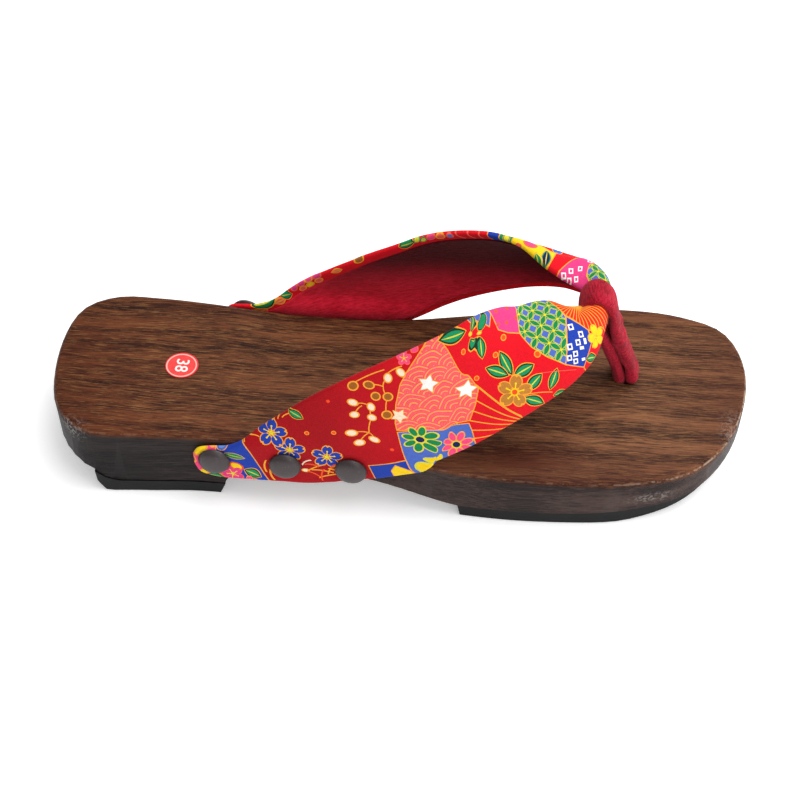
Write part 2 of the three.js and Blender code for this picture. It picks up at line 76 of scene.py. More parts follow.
print("board top at the heel, middle and toe:", board_top(0), board_top(123), board_top(246))

# %% [markdown]
# The camera stands where the photographer stood, half a metre away and well above the shoe. A long lens keeps
# the board's edges nearly parallel.

# %% Camera
camera_data = bpy.data.cameras.new("camera")
camera_data.lens = 68.45
camera = bpy.data.objects.new("camera", camera_data)
bpy.context.scene.collection.objects.link(camera)
bpy.context.scene.camera = camera
EYE = at(150.95, -356.94, 430.78)
AIM = at(122.7, -5.23, 20.0)
ROLL = math.radians(-1.13)
turn = (AIM - EYE).to_track_quat("-Z", "Y").to_matrix().to_4x4() @ Matrix.Rotation(ROLL, 4, "Z")
camera.matrix_world = Matrix.Translation(EYE) @ turn
print("camera to shoe in metres:", round((AIM - EYE).length, 4))

# %% [markdown]
# The shoe was photographed on white paper under soft light from above and from the toe side, with a weak fill
# from the front. One large soft box and one small one do the same here. The world's own light keeps the
# shadows open. The small functions in this cell add a shader node, turn a #RRGGBB colour into light and
# measure on the shoe.

# %% Floor and light
bpy.ops.object.select_all(action="DESELECT")
bpy.ops.mesh.primitive_plane_add(size=6.0, location=(0, 0, -0.0004))
floor = bpy.context.object
floor.name = "studio_floor"


# What makes a Mix node mix two colours: its inputs are then 0 for the share, 6 and 7 for the colours.
COLOUR = {"out": 2, "data_type": "RGBA"}


def add(tree, kind, *inputs, out=0, **settings):
    """Adds one shader node and returns one of its outputs. A dot in the kind gives its operation. An input is
    a value or another node's output. Inputs come in the node's order, or in a dict by name or number."""
    kind, dot, operation = kind.partition(".")
    node = tree.nodes.new("ShaderNode" + kind)
    if operation:
        node.operation = operation
    for name, value in settings.items():
        setattr(node, name, value)
    given = inputs[0] if inputs and isinstance(inputs[0], dict) else dict(enumerate(inputs))
    for key, value in given.items():
        if isinstance(value, bpy.types.NodeSocket):
            tree.links.new(value, node.inputs[key])
        else:
            node.inputs[key].default_value = value
    return node.outputs[out] if node.outputs else None


def rgb(code):
    """A #RRGGBB colour as linear light."""
    parts = [int(code[i:i + 2], 16) / 255 for i in (1, 3, 5)]
    return tuple(c / 12.92 if c <= 0.04045 else ((c + 0.055) / 1.055) ** 2.4 for c in parts) + (1.0,)


def new_material(name):
    material = bpy.data.materials.new(name)
    material.use_nodes = True
    material.node_tree.nodes.clear()
    return material, material.node_tree


def finish_surface(tree, colour, roughness, relief, more):
    """Ends a material with its shader. The relief is its height, its strength and its depth in metres."""
    sockets = {"Base Color": colour, "Roughness": roughness, **more}
    if relief:
        sockets["Normal"] = add(tree, "Bump", dict(zip(("Height", "Strength", "Distance"), relief)))
    add(tree, "OutputMaterial", {"Surface": add(tree, "BsdfPrincipled", sockets)})


def shoe_place(tree):
    """Where a point of the piece is, in the shoe's own millimetres."""
    coords = add(tree, "TexCoord", out=3)
    return add(tree, "VectorMath.MULTIPLY_ADD", coords, (1000.0, 1000.0, 1000.0), (*FOOTPRINT_MIDDLE, 0.0))


def white_paper():
    """Uncoated paper: a bright, dull ground without a highlight."""
    material, tree = new_material("white_paper")
    grain = add(tree, "TexNoise", {"Vector": shoe_place(tree), "Scale": 0.6, "Detail": 3.0})
    tone = add(tree, "Mix", {0: grain, 6: rgb("#FAFAFB"), 7: rgb("#FDFDFD")}, **COLOUR)
    finish_surface(tree, tone, 0.9, (grain, 0.1, 0.0001),
                   {"Specular IOR Level": 0.1, "Emission Color": (1, 1, 1, 1), "Emission Strength": 0.3})
    return material


floor.data.materials.append(white_paper())
WORLD_LIGHT = 0.5
world = bpy.data.worlds.new("studio")
bpy.context.scene.world = world
world.use_nodes = True
world.node_tree.nodes["Background"].inputs["Color"].default_value = (1, 1, 1, 1)
world.node_tree.nodes["Background"].inputs["Strength"].default_value = WORLD_LIGHT
bpy.context.scene.view_settings.view_transform = "Standard"


def softbox(name, place, size, watts):
    light = bpy.data.lights.new(name, "AREA")
    light.size = size
    light.energy = watts
    lamp = bpy.data.objects.new(name, light)
    bpy.context.scene.collection.objects.link(lamp)
    lamp.location = place
    lamp.rotation_euler = (-lamp.location).to_track_quat("-Z", "Y").to_euler()


softbox("softbox_top", Vector((0.4, 0.15, 0.9)), 1.0, 11)
softbox("softbox_front", Vector((0.6, -0.8, 0.6)), 0.8, 3)
print("lights:", [light.name for light in bpy.data.lights])

# %% [markdown]
# Every visible piece ends the same way: it takes a material and rides on the shoe's one fixed part. The hard
# pieces are copies of the CAD meshes. A copy is merged first, so that its faces share corners and shade as
# one surface. The CAD mesh itself stays as it was.

# %% Helpers for the pieces
def only(piece):
    bpy.ops.object.select_all(action="DESELECT")
    piece.select_set(True)
    bpy.context.view_layer.objects.active = piece


def finish_piece(piece, material):
    piece.data.materials.clear()
    piece.data.materials.append(material)
    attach(piece, "root")
    print(piece.name, len(piece.data.polygons), "faces")


def join_corners(piece, distance):
    only(piece)
    bpy.ops.object.mode_set(mode="EDIT")
    bpy.ops.mesh.select_all(action="SELECT")
    bpy.ops.mesh.remove_doubles(threshold=distance)


def merged_copy(node, angle=35.0):
    piece = bpy.data.objects.new(node + "_shown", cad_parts[node].data.copy())
    bpy.context.scene.collection.objects.link(piece)
    join_corners(piece, 0.00001)
    bpy.ops.object.mode_set(mode="OBJECT")
    bpy.ops.object.shade_smooth_by_angle(angle=math.radians(angle))
    return piece

# %% [markdown]
# Paulownia for a geta is scorched with a flame and brushed, which burns out the soft wood and leaves fine
# dark streaks along the board. Noise stretched along the shoe gives the rings, the streaks and the pores. The
# same noises drive colour, gloss and relief, so that a dark streak is also a shallow one. A carved relief
# would need millions of faces and would look the same from here.

# %% Burnt wood
def spot(tree, place, centre, reach):
    """1 at a place on the shoe and 0 beyond a reach from it, with the reach given along x, y and z."""
    off = add(tree, "VectorMath.SUBTRACT", place, centre)
    off = add(tree, "VectorMath.DIVIDE", off, reach)
    off = add(tree, "VectorMath.LENGTH", off, out=1)
    return add(tree, "MapRange", off, 1.0, 0.0, interpolation_type="SMOOTHSTEP")


def worn(tree, place, spots, start):
    """The strongest of a table's spots at a place on the shoe."""
    for centre, reach, strength in spots:
        patch = add(tree, "Math.MULTIPLY", spot(tree, place, centre, reach), strength)
        start = add(tree, "Math.MAXIMUM", start, patch)
    return start


def burnt_paulownia():
    """Scorched and brushed paulownia: dark dry streaks over warm brown, nearly black sides, a faint satin."""
    material, tree = new_material("burnt_paulownia")
    place = shoe_place(tree)
    sides = add(tree, "SeparateXYZ", place, out=slice(3))
    # How far under the top face: the sides start where this passes the rounded edge.
    slope = (HEEL_TOP - TOE_TOP) / BOARD_LENGTH
    below = add(tree, "VectorMath.DOT_PRODUCT", place, (-slope, 0, -1), out=1)
    below = add(tree, "Math.ADD", below, HEEL_TOP)
    flank = add(tree, "MapRange", below, 0.7, 2.6, interpolation_type="SMOOTHSTEP")
    # The growth rings run lengthways and sway a little, most of all beside the strap on the forefoot.
    sway = add(tree, "TexNoise", {"Vector": place, "Scale": 0.022, "Detail": 1.0})
    sway = add(tree, "Math.MULTIPLY_ADD", sway, 5.0, -2.5)
    swayed = add(tree, "CombineXYZ", 0.0, sway, 0.0)
    swayed = add(tree, "VectorMath.ADD", place, swayed)
    ring_place = add(tree, "VectorMath.MULTIPLY", swayed, (0.008, 0.20, 0.20))
    rings = add(tree, "TexNoise", {"Vector": ring_place, "Scale": 1.0, "Detail": 2.0})
    streak_place = add(tree, "VectorMath.MULTIPLY", swayed, (0.032, 2.2, 2.2))
    streaks = add(tree, "TexNoise", {"Vector": streak_place, "Scale": 1.0, "Detail": 6.0, "Roughness": 0.75})
    pore_place = add(tree, "VectorMath.MULTIPLY", swayed, (0.05, 3.0, 3.0))
    pores = add(tree, "TexNoise", {"Vector": pore_place, "Scale": 1.0, "Detail": 3.0, "Roughness": 0.7})
    grain = add(tree, "Math.MULTIPLY_ADD", rings, 0.5, streaks)
    light = add(tree, "MapRange", grain, 0.65, 0.87)
    pale = add(tree, "MapRange", pores, 0.55, 0.62)
    # Warm brown at the heel, greyer towards the toe.
    toward_toe = add(tree, "MapRange", sides[0], 20.0, 190.0)
    dark = add(tree, "Mix", {0: toward_toe, 6: rgb("#220E08"), 7: rgb("#2E180E")}, **COLOUR)
    fair = add(tree, "Mix", {0: toward_toe, 6: rgb("#6C3A20"), 7: rgb("#805236")}, **COLOUR)
    top = add(tree, "Mix", {0: light, 6: dark, 7: fair}, **COLOUR)
    pale = add(tree, "Math.MULTIPLY", pale, 0.6)
    top = add(tree, "Mix", {0: pale, 6: top, 7: rgb("#94683E")}, **COLOUR)
    # Scorched darker where the flame lingered: along the outer edge, at the heel and beside the strap.
    edge = add(tree, "Math.SUBTRACT", sides[1], 3.0)
    edge = add(tree, "Math.ABSOLUTE", edge)
    scorch = add(tree, "MapRange", edge, 24.0, 42.0, 0.0, 0.55)
    scorch = worn(tree, place, SCORCHES, scorch)
    uneven = add(tree, "Math.MULTIPLY", streaks, 1.6)
    scorch = add(tree, "Math.MULTIPLY", scorch, uneven)
    top = add(tree, "Mix", {0: scorch, 6: top, 7: rgb("#420F03")}, **COLOUR)
    # The sides are charred, and darkened further by painted shade where they turn from the top light:
    # charcoal at the heel, grey-brown under the forefoot.
    side_dark = add(tree, "Mix", {0: toward_toe, 6: rgb("#151112"), 7: rgb("#1E1514")}, **COLOUR)
    side_fair = add(tree, "Mix", {0: toward_toe, 6: rgb("#2E2828"), 7: rgb("#4C3A34")}, **COLOUR)
    side = add(tree, "Mix", {0: light, 6: side_dark, 7: side_fair}, **COLOUR)
    wood_colour = add(tree, "Mix", {0: flank, 6: top, 7: side}, **COLOUR)
    # Wear and painted highlight: a pale line on the toe's top edge, part worn and part a painted highlight,
    # and silvery scuffs at two corners, part scratches and part a painted glint.
    rim = add(tree, "MapRange", below, 0.45, 0.8)
    rim_end = add(tree, "MapRange", below, 1.3, 0.9)
    rim = add(tree, "Math.MULTIPLY", rim, rim_end)
    front = add(tree, "MapRange", sides[0], 190.0, 232.0, 0.15, 0.85)
    rim = add(tree, "Math.MULTIPLY", rim, front)
    chips = add(tree, "TexNoise", {"Vector": place, "Scale": 0.35, "Detail": 4.0, "Roughness": 0.7})
    chip = add(tree, "MapRange", chips, 0.46, 0.56)
    rim = add(tree, "Math.MULTIPLY", rim, chip)
    wood_colour = add(tree, "Mix", {0: rim, 6: wood_colour, 7: rgb("#A8907C")}, **COLOUR)
    flecks = add(tree, "TexNoise", {"Vector": place, "Scale": 0.9, "Detail": 3.0, "Roughness": 0.7})
    fleck = add(tree, "MapRange", flecks, 0.50, 0.58)
    scuff_and_glint = add(tree, "Math.MULTIPLY", worn(tree, place, SCUFFS_AND_GLINTS, 0.0), fleck)
    wood_colour = add(tree, "Mix", {0: scuff_and_glint, 6: wood_colour, 7: rgb("#A8A09A")}, **COLOUR)
    rough = add(tree, "MapRange", streaks, 0.3, 0.7, 0.42, 0.62)
    relief = add(tree, "Math.ADD", streaks, pores)
    finish_surface(tree, wood_colour, rough, (relief, 0.5, 0.0003), {"Specular IOR Level": 0.12})
    return material


# Each row is a spot of wear: its place on the shoe, its reach along x, y and z, its strength.
SCORCHES = [((165.0, -33.0, 23.0), (46.0, 13.0, 30.0), 0.85), ((6.0, -28.0, 30.0), (34.0, 16.0, 30.0), 0.5),
            ((60.0, 30.0, 27.0), (60.0, 9.0, 30.0), 0.35), ((244.0, 2.0, 20.0), (36.0, 60.0, 30.0), 0.45),
            ((4.0, 0.0, 30.0), (40.0, 50.0, 30.0), 0.3)]
# The scuffs are partly scratches and partly a painted glint where a corner catches the light.
SCUFFS_AND_GLINTS = [((6.0, -31.0, 27.0), (14.0, 7.0, 7.0), 0.9), ((212.0, -38.0, 12.0), (14.0, 7.0, 4.0), 0.4),
          ((239.0, -14.0, 18.0), (7.0, 16.0, 5.0), 0.35)]
print("scorched spots:", len(SCORCHES), "scuffs:", len(SCUFFS_AND_GLINTS))

# %% [markdown]
# The two pads are cut from matt black moulded rubber. The tacks have domed heads in dusty dark bronze paint,
# so they are only a little metallic. Both get most of their look from roughness and a low relief.

# %% Rubber and painted tacks
def moulded_rubber():
    """Moulded rubber: a dull black with a fine grain and some dust."""
    material, tree = new_material("moulded_rubber")
    place = shoe_place(tree)
    grain = add(tree, "TexNoise", {"Vector": place, "Scale": 1.6, "Detail": 3.0})
    dust = add(tree, "TexNoise", {"Vector": place, "Scale": 0.08, "Detail": 4.0})
    dust = add(tree, "MapRange", dust, 0.5, 0.75, 0.0, 0.35)
    tone = add(tree, "Mix", {0: dust, 6: rgb("#0C0D0F"), 7: rgb("#242222")}, **COLOUR)
    finish_surface(tree, tone, 0.6, (grain, 0.35, 0.0002), {"Specular IOR Level": 0.2})
    return material


def painted_tack():
    """Bronze paint on a pressed steel head: cloudy dark brown with one soft highlight."""
    material, tree = new_material("painted_tack")
    place = shoe_place(tree)
    cloud = add(tree, "TexNoise", {"Vector": place, "Scale": 0.22, "Detail": 4.0})
    tone = add(tree, "Mix", {0: cloud, 6: rgb("#281F20"), 7: rgb("#403536")}, **COLOUR)
    speck = add(tree, "TexNoise", {"Vector": place, "Scale": 2.4, "Detail": 2.0})
    speck = add(tree, "MapRange", speck, 0.66, 0.72, 0.0, 0.5)
    tone = add(tree, "Mix", {0: speck, 6: tone, 7: rgb("#766C68")}, **COLOUR)
    finish_surface(tree, tone, 0.42, (cloud, 0.2, 0.0002), {"Metallic": 0.15})
    return material

# %% [markdown]
# The board, the pads and the tacks are right as the CAD made them. Their copies take the materials above.

# %% Board, pads and tacks
wood = burnt_paulownia()
rubber = moulded_rubber()
bronze = painted_tack()
board = merged_copy("sole_board")
finish_piece(board, wood)
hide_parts("sole_board")
for node in ("heel_rubber", "forefoot_rubber"):
    pad = merged_copy(node)
    finish_piece(pad, rubber)
    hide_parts(node)
for side in ("lateral", "medial"):
    for number in (1, 2, 3):
        node = f"nail_{side}_{number}"
        tack = merged_copy(node, 50.0)
        finish_piece(tack, bronze)
        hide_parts(node)

# %% [markdown]
# The strap is one wide padded band that runs from the tacks on one side, over the foot to the thong, and back
# to the tacks on the other side. It can be drawn as a row of sections from its front edge to its rear edge.
# The sections come from the camera's view of the near arm. The hidden arm follows the far shoe, which shows
# that side. A smooth curve through the table's rows makes the sections in between.

# %% Strap sections
# Each row is one section: the front edge's place, the rear edge's, how far the cloth arches out, its wall.
SECTIONS = [
    (53, -35.6, 17.2, 53, -35.2, 21.8, 0.2, 2.4),
    (55.4, -35.9, 13.2, 55.2, -34.9, 24.6, 0.4, 2.6),
    (60, -36, 11.6, 59.5, -34.5, 25.7, 0.4, 2.6),
    (66, -36, 11.2, 65.2, -34, 26.8, 0.4, 2.6),
    (74, -36, 11.4, 72.5, -32.9, 31.2, 0.6, 2.6),
    (83, -36, 11.3, 82.5, -31.8, 39.6, 1.2, 2.6),
    (93, -36, 11.2, 95, -30.6, 49.8, 1.8, 2.6),
    (104, -36.5, 13.2, 110, -28.9, 59.6, 2.2, 2.6),
    (115, -37.2, 16.2, 125, -26.8, 68.2, 2.6, 2.6),
    (125.5, -38, 20.6, 139, -23.2, 75, 3, 2.6),
    (136, -37.2, 26.2, 149, -18.2, 78.6, 3.6, 2.6),
    (148, -36.2, 34, 156.5, -11, 75.2, 5.2, 2.6),
    (160, -33.4, 41.6, 161.8, -5, 69.6, 7.2, 2.6),
    (171, -27.6, 46.4, 166.5, -0.8, 66.6, 8.4, 2.8),
    (181, -20.2, 50, 172, 2.2, 64.2, 8.4, 3),
    (187.8, -11.6, 52.8, 177.4, 1.6, 62.4, 7, 3),
    (190.8, -3.6, 56.4, 182.8, 3.6, 60.6, 5.8, 2.6),
    (193, 6.4, 58.6, 186.2, 7.2, 59.4, 4.6, 2.4),
    (193.4, 13.8, 56, 184.4, 11.6, 60.6, 6.4, 2.6),
    (191.6, 19.8, 49.8, 177.4, 15.2, 62.6, 8.6, 3),
    (187.4, 26, 45, 171, 19, 64.6, 8, 3),
    (179, 30.8, 43.4, 163, 24.2, 68.2, 5.4, 2.8),
    (168, 33.3, 40.8, 155, 28.2, 69.6, 3.4, 2.6),
    (156, 34.8, 36.4, 145, 31, 68.4, 2.4, 2.6),
    (144, 35.4, 31.2, 133, 32.6, 65.4, 2, 2.6),
    (134, 34.6, 26.4, 122, 33, 60.2, 1.8, 2.6),
    (124.5, 32.8, 21.6, 110, 33, 54.4, 1.6, 2.6),
    (114.5, 32, 16.6, 97, 33, 47.4, 1.4, 2.6),
    (104, 31.8, 13.2, 85, 32.8, 39.8, 1, 2.6),
    (93, 31.8, 11.2, 75, 32.4, 31.6, 0.8, 2.6),
    (80, 32.6, 11.3, 67, 32.4, 27, 0.6, 2.6),
    (70, 33.4, 11.3, 61.5, 33.2, 26, 0.4, 2.6),
    (60.5, 34.4, 12.2, 57.2, 33.8, 25, 0.4, 2.6),
    (55.2, 35.2, 16.6, 54.6, 34.6, 22.2, 0.2, 2.4),
]
STRAP_STEPS = 336


def along_table(rows, share):
    """The smooth curve through a table's rows, at a share from 0 to 1 of its length."""
    place = share * (len(rows) - 1)
    i = min(int(place), len(rows) - 2)
    t = place - i
    values = []
    for column in range(len(rows[0])):
        b, c = rows[i][column], rows[i + 1][column]
        a = rows[i - 1][column] if i else 2 * b - c
        d = rows[i + 2][column] if i + 2 < len(rows) else 2 * c - b
        start, end = (c - a) / 2, (d - b) / 2
        bend, twist = 3 * (c - b) - 2 * start - end, 2 * (b - c) + start + end
        values.append(b + start * t + bend * t * t + twist * t ** 3)
    return values

# %% [markdown]
# Both ends of the strap lie flat on the board's sides. Rays shot at the board measure where its sides are,
# and the strap's lower part is seated just off them. Numbers typed by hand would leave gaps or bury the
# cloth.

# %% Board side distances
board_tree = BVHTree.FromPolygons([v.co for v in board.data.vertices],
                                  [p.vertices for p in board.data.polygons])
SIDE_START, SIDE_STEP, SIDE_COUNT = 48.0, 2.0, 80
SIDE_LOW, SIDE_HIGH = 16.9, 22.5


def side_at(x, z, sign):
    start = at(x, sign * 80.0, z)
    hit = board_tree.ray_cast(start, Vector((0, -sign, 0)))[0]
    return hit.y / MM + FOOTPRINT_MIDDLE[1] if hit else sign * 30.0


side_places = [SIDE_START + SIDE_STEP * i for i in range(SIDE_COUNT)]
side_table = {sign: [(side_at(x, SIDE_LOW, sign), side_at(x, SIDE_HIGH, sign)) for x in side_places]
              for sign in (-1, 1)}


def side_wall(x, z, sign):
    place = min(SIDE_COUNT - 2.0, max(0.0, (x - SIDE_START) / SIDE_STEP))
    i = int(place)
    low = mix(side_table[sign][i][0], side_table[sign][i + 1][0], place - i)
    high = mix(side_table[sign][i][1], side_table[sign][i + 1][1], place - i)
    return mix(low, high, (z - SIDE_LOW) / (SIDE_HIGH - SIDE_LOW))


print("board side at the middle tack in mm:", round(side_wall(75, 20, -1), 1), round(side_wall(75, 20, 1), 1))


STRAP_SEAT = 0.6


def hug(point, wall):
    sign = -1 if point.y < 0 else 1
    seat = side_wall(point.x, point.z, sign) + sign * (STRAP_SEAT + wall / 2)
    top = board_top(point.x)
    release = mix(8.0, 3.0, ease(point.x, 108.3, 145.0))
    weight = 1 - ease(point.z, top + 0.5, top + release)
    point.y = mix(point.y, seat, weight)

# %% [markdown]
# The band's middle surface is a grid: one row of points for each section. The points crowd at the two edges,
# where the padded cloth turns round in a small radius.

# %% Strap middle surface
LANES = 60
EDGE_LANES = (0.0, 0.12, 0.4, 0.85)
EDGE_REST = 1.45
KNOT_ROW = 17


def lane_shares(width):
    """Places across a section, close together at its two rounded edges."""
    edge = [distance / width for distance in EDGE_LANES]
    count = LANES - 2 * len(edge)
    first, last = EDGE_REST / width, 1 - EDGE_REST / width
    middle = [mix(first, last, k / (count - 1)) for k in range(count)]
    return edge + middle + [1 - share for share in reversed(edge)]


def strap_surface():
    lanes = []
    for i in range(STRAP_STEPS + 1):
        share = i / STRAP_STEPS
        here = along_table(SECTIONS, share)
        ahead = along_table(SECTIONS, min(1.0, share + 0.01))
        behind = along_table(SECTIONS, max(0.0, share - 0.01))
        low, high = Vector(here[0:3]), Vector(here[3:6])
        way = Vector(ahead[0:3]) + Vector(ahead[3:6]) - Vector(behind[0:3]) - Vector(behind[3:6])
        out = (low - high).cross(way).normalized()
        lane = []
        for s in lane_shares((high - low).length):
            point = low.lerp(high, s) + out * (here[6] * 4 * s * (1 - s))
            hug(point, here[7])
            lane.append(point)
        lanes.append(lane)
    return lanes


def surface_normals(lanes):
    normals = []
    for i, lane in enumerate(lanes):
        before, after = lanes[max(0, i - 1)], lanes[min(STRAP_STEPS, i + 1)]
        row = []
        for j in range(LANES):
            across = lane[max(0, j - 1)] - lane[min(LANES - 1, j + 1)]
            row.append(across.cross(after[j] - before[j]).normalized())
        normals.append(row)
    return normals


strap_lanes = strap_surface()
walls = [along_table(SECTIONS, i / STRAP_STEPS)[7] for i in range(STRAP_STEPS + 1)]
smooth_normals = surface_normals(strap_lanes)
print("strap sections:", len(strap_lanes), "points across each:", LANES)

# %% [markdown]
# A print lies undistorted on the flat cloth, before the strap is bent to shape. So the middle surface is
# unrolled one section at a time, and each point keeps its place on the flat cloth in millimetres. A map
# projected from one side would stretch the flowers where the strap turns away.

# %% Flat cloth
def section_arcs(lane):
    """How far each point of a section is from its middle, measured over the cloth."""
    arcs = [0.0]
    for a, b in zip(lane, lane[1:]):
        arcs.append(arcs[-1] + (b - a).length)
    return [arc - arcs[-1] / 2 for arc in arcs]


def flat_cloth(lanes, normals):
    """Unrolls the strap one section at a time, and returns each point's place on the flat cloth."""
    arcs = section_arcs(lanes[0])
    across, along = Vector((0.0, 1.0)), Vector((1.0, 0.0))
    flat = [[across * arc for arc in arcs]]
    for i in range(len(lanes) - 1):
        places, weights = [], []
        for j in range(LANES):
            low, high = max(0, j - 1), min(LANES - 1, j + 1)
            rise = (lanes[i][high] - lanes[i][low]).normalized()
            step = lanes[i + 1][j] - lanes[i][j]
            forward = rise.cross(normals[i][j])
            if forward.dot(lanes[min(i + 3, len(lanes) - 1)][j] - lanes[i][j]) < 0:
                forward = -forward
            places.append(flat[i][j] + across * step.dot(rise) + along * step.dot(forward))
            weights.append((lanes[i][high] - lanes[i][low]).length)
        arcs = section_arcs(lanes[i + 1])
        middle = sum((p * w for p, w in zip(places, weights)), Vector((0.0, 0.0))) / sum(weights)
        across = sum((p * a * w for p, a, w in zip(places, arcs, weights)), Vector((0.0, 0.0))).normalized()
        along = Vector((across.y, -across.x))
        flat.append([middle + across * arc for arc in arcs])
    return flat


OUTER_TURN = math.radians(-24.0)
INNER_TIP = (217.0, 152.0)
INNER_SHIFT = 300.0
knot_step = round(KNOT_ROW / (len(SECTIONS) - 1) * STRAP_STEPS)
cloth_places = flat_cloth(strap_lanes, smooth_normals)


def print_place(flat, inner_arm):
    """A point of the flat cloth on the print: x runs from an arm's tip to the knot, y to the rear edge."""
    if inner_arm:
        return INNER_SHIFT + INNER_TIP[0] - flat.y, INNER_TIP[1] - flat.x
    c, s = math.cos(OUTER_TURN), math.sin(OUTER_TURN)
    return flat.x * c - flat.y * s, flat.x * s + flat.y * c


knot_middle = cloth_places[knot_step][LANES // 2]
for inner_arm in (False, True):
    print("knot on the print:", [round(v, 1) for v in print_place(knot_middle, inner_arm)])

# %% [markdown]
# Soft folds stand where the cloth is pulled together: at the thong, and beside the tacks. They are placed in
# the print's own millimetres and move the middle surface a little. A cloth simulation would not put them
# where this strap has them.

# %% Creases
# Each row is one soft fold: the arm, its place and turn on the print, half its length and width, its height.
CREASES = [
    ("outer", 151, 6, -35, 9, 1.6, -0.7),
    ("outer", 152, -4, 20, 8, 1.6, -0.6),
    ("outer", 147, -15, 32, 9, 1.5, -0.6),
    ("outer", 141, 2, -60, 14, 5, 0.5),
    ("outer", 112, -20, 12, 22, 4, -0.35),
    ("outer", 60, -8, 62, 14, 5, -0.3),
    ("outer", 92, 8, 70, 14, 6, 0.3),
    ("inner", 130, 8, 20, 10, 1.8, -0.9),
    ("inner", 132, -5, -25, 10, 1.8, -0.8),
    ("inner", 126, 1, -5, 12, 2.6, 0.8),
    ("inner", 70, 4, 84, 12, 3, -0.35),
    ("inner", 58, 0, 80, 12, 2.5, 0.3),
    ("inner", 82, -2, 78, 12, 4, 0.3),
]
TACK_PLACES = {"outer": [(6.5, -2.0), (30.5, -11.5), (51.0, -21.0)],
               "inner": [(6.0, 0.0), (30.0, -8.0), (53.0, -14.0)]}


def fold_height(x, y, arm):
    height = 0.0
    for fold_arm, fx, fy, turn, reach, spread, lift in CREASES:
        if fold_arm != arm:
            continue
        c, s = math.cos(math.radians(turn)), math.sin(math.radians(turn))
        along, off = (x - fx) * c + (y - fy) * s, (y - fy) * c - (x - fx) * s
        if abs(along) < reach and abs(off) < 3 * spread:
            height += lift * math.exp(-(off / spread) ** 2) * (1 - ease(abs(along), reach * 0.2, reach))
    for tx, ty in TACK_PLACES[arm]:
        height -= 0.35 * (1 - ease(math.hypot(x - tx, y - ty), 4.5, 9.5))
    return height


def folded(lanes, normals):
    result = []
    for i, lane in enumerate(lanes):
        inner_arm = i > knot_step
        arm = "inner" if inner_arm else "outer"
        row = []
        for j, point in enumerate(lane):
            x, y = print_place(cloth_places[i][j], inner_arm)
            x -= INNER_SHIFT if inner_arm else 0.0
            row.append(point + normals[i][j] * fold_height(x, y, arm))
        result.append(row)
    return result


folded_lanes = folded(strap_lanes, smooth_normals)
folded_normals = surface_normals(folded_lanes)
print("creases:", len(CREASES))

# %% [markdown]
# The band is a closed tube round the middle surface: outside, rounded edge, inside, rounded edge. Its two
# ends are rounded off and closed. It takes the place of the CAD's strap and stays within its thickness.

# %% Strap band
def sheet_grid(name, rows, columns):
    bpy.ops.object.select_all(action="DESELECT")
    bpy.ops.mesh.primitive_grid_add(x_subdivisions=columns - 1, y_subdivisions=rows - 1, size=1)
    piece = bpy.context.object
    piece.name = name
    return piece


def place_points(piece, points):
    for vertex, point in zip(piece.data.vertices, points):
        vertex.co = at(*point)


def set_cloth_map(piece, row_uvs, columns, first=0):
    """Writes each face corner's place on the print. row_uvs has rows of places for each side of the knot."""
    layer = piece.data.uv_layers.active
    layer.name = "cloth"
    for face in piece.data.polygons:
        inner_arm = min(v // columns for v in face.vertices) + first >= knot_step
        for loop in face.loop_indices:
            i, j = divmod(piece.data.loops[loop].vertex_index, columns)
            layer.data[loop].uv = row_uvs[inner_arm][i][j]


def close_seams(piece, distance=0.000004):
    join_corners(piece, distance)
    bpy.ops.mesh.dissolve_degenerate(threshold=0.000001)
    bpy.ops.mesh.normals_make_consistent(inside=False)
    bpy.ops.object.mode_set(mode="OBJECT")
    bpy.ops.object.shade_smooth()


LINING_ROOM = 0.55


def rounding(distance, half):
    inside = min(1.0, distance / half)
    return math.sqrt(max(0.0, 1 - (1 - inside) ** 2))


def row_distances(lanes):
    distances = [0.0]
    for a, b in zip(lanes, lanes[1:]):
        distances.append(distances[-1] + (b[LANES // 2] - a[LANES // 2]).length)
    return distances


strap_run = row_distances(folded_lanes)


def strap_rings():
    """Points round each section, outside then back along the inside, and their places on the print."""
    points, maps = [], {False: [], True: []}
    for i, lane in enumerate(folded_lanes):
        end = min(strap_run[i], strap_run[-1] - strap_run[i])
        half = walls[i] / 2
        arcs = section_arcs(lane)
        outer, inner = [], []
        for j, point in enumerate(lane):
            edge = min(arcs[j] - arcs[0], arcs[-1] - arcs[j])
            swell = rounding(edge, half) * rounding(end, half)
            outer.append(point + folded_normals[i][j] * half * swell)
            inner.append(point - folded_normals[i][j] * (half - LINING_ROOM) * swell)
        points += outer + inner[::-1] + outer[:1]
        front, rear = cloth_places[i][0], cloth_places[i][-1]
        across = (rear - front).normalized()
        for inner_arm in (False, True):
            outside = [print_place(place, inner_arm) for place in cloth_places[i]]
            inside = [print_place(rear + across * (arcs[-1] - arc), inner_arm) for arc in arcs]
            maps[inner_arm].append(outside + inside[::-1] + outside[:1])
    return points, maps


ring_size = 2 * LANES + 1
strap = sheet_grid("strap_band", STRAP_STEPS + 1, ring_size)
ring_points, ring_maps = strap_rings()
place_points(strap, ring_points)
set_cloth_map(strap, ring_maps, ring_size)
close_seams(strap)
print("strap band:", len(strap.data.polygons), "faces, length over the cloth in mm:", round(strap_run[-1], 1))

# %% [markdown]
# The print turns round the rear edge and is stitched down a few millimetres inside. The crepe lining covers
# the rest of the inside as its own thin sheet, with a real thickness, so its edge shows as a step.

# %% Strap lining
LINING_LANES = 40
LINING_FRONT = 2.6
LINING_REAR = 3.4
LINING_WALL = 0.42
LINING_ENDS = 3.0


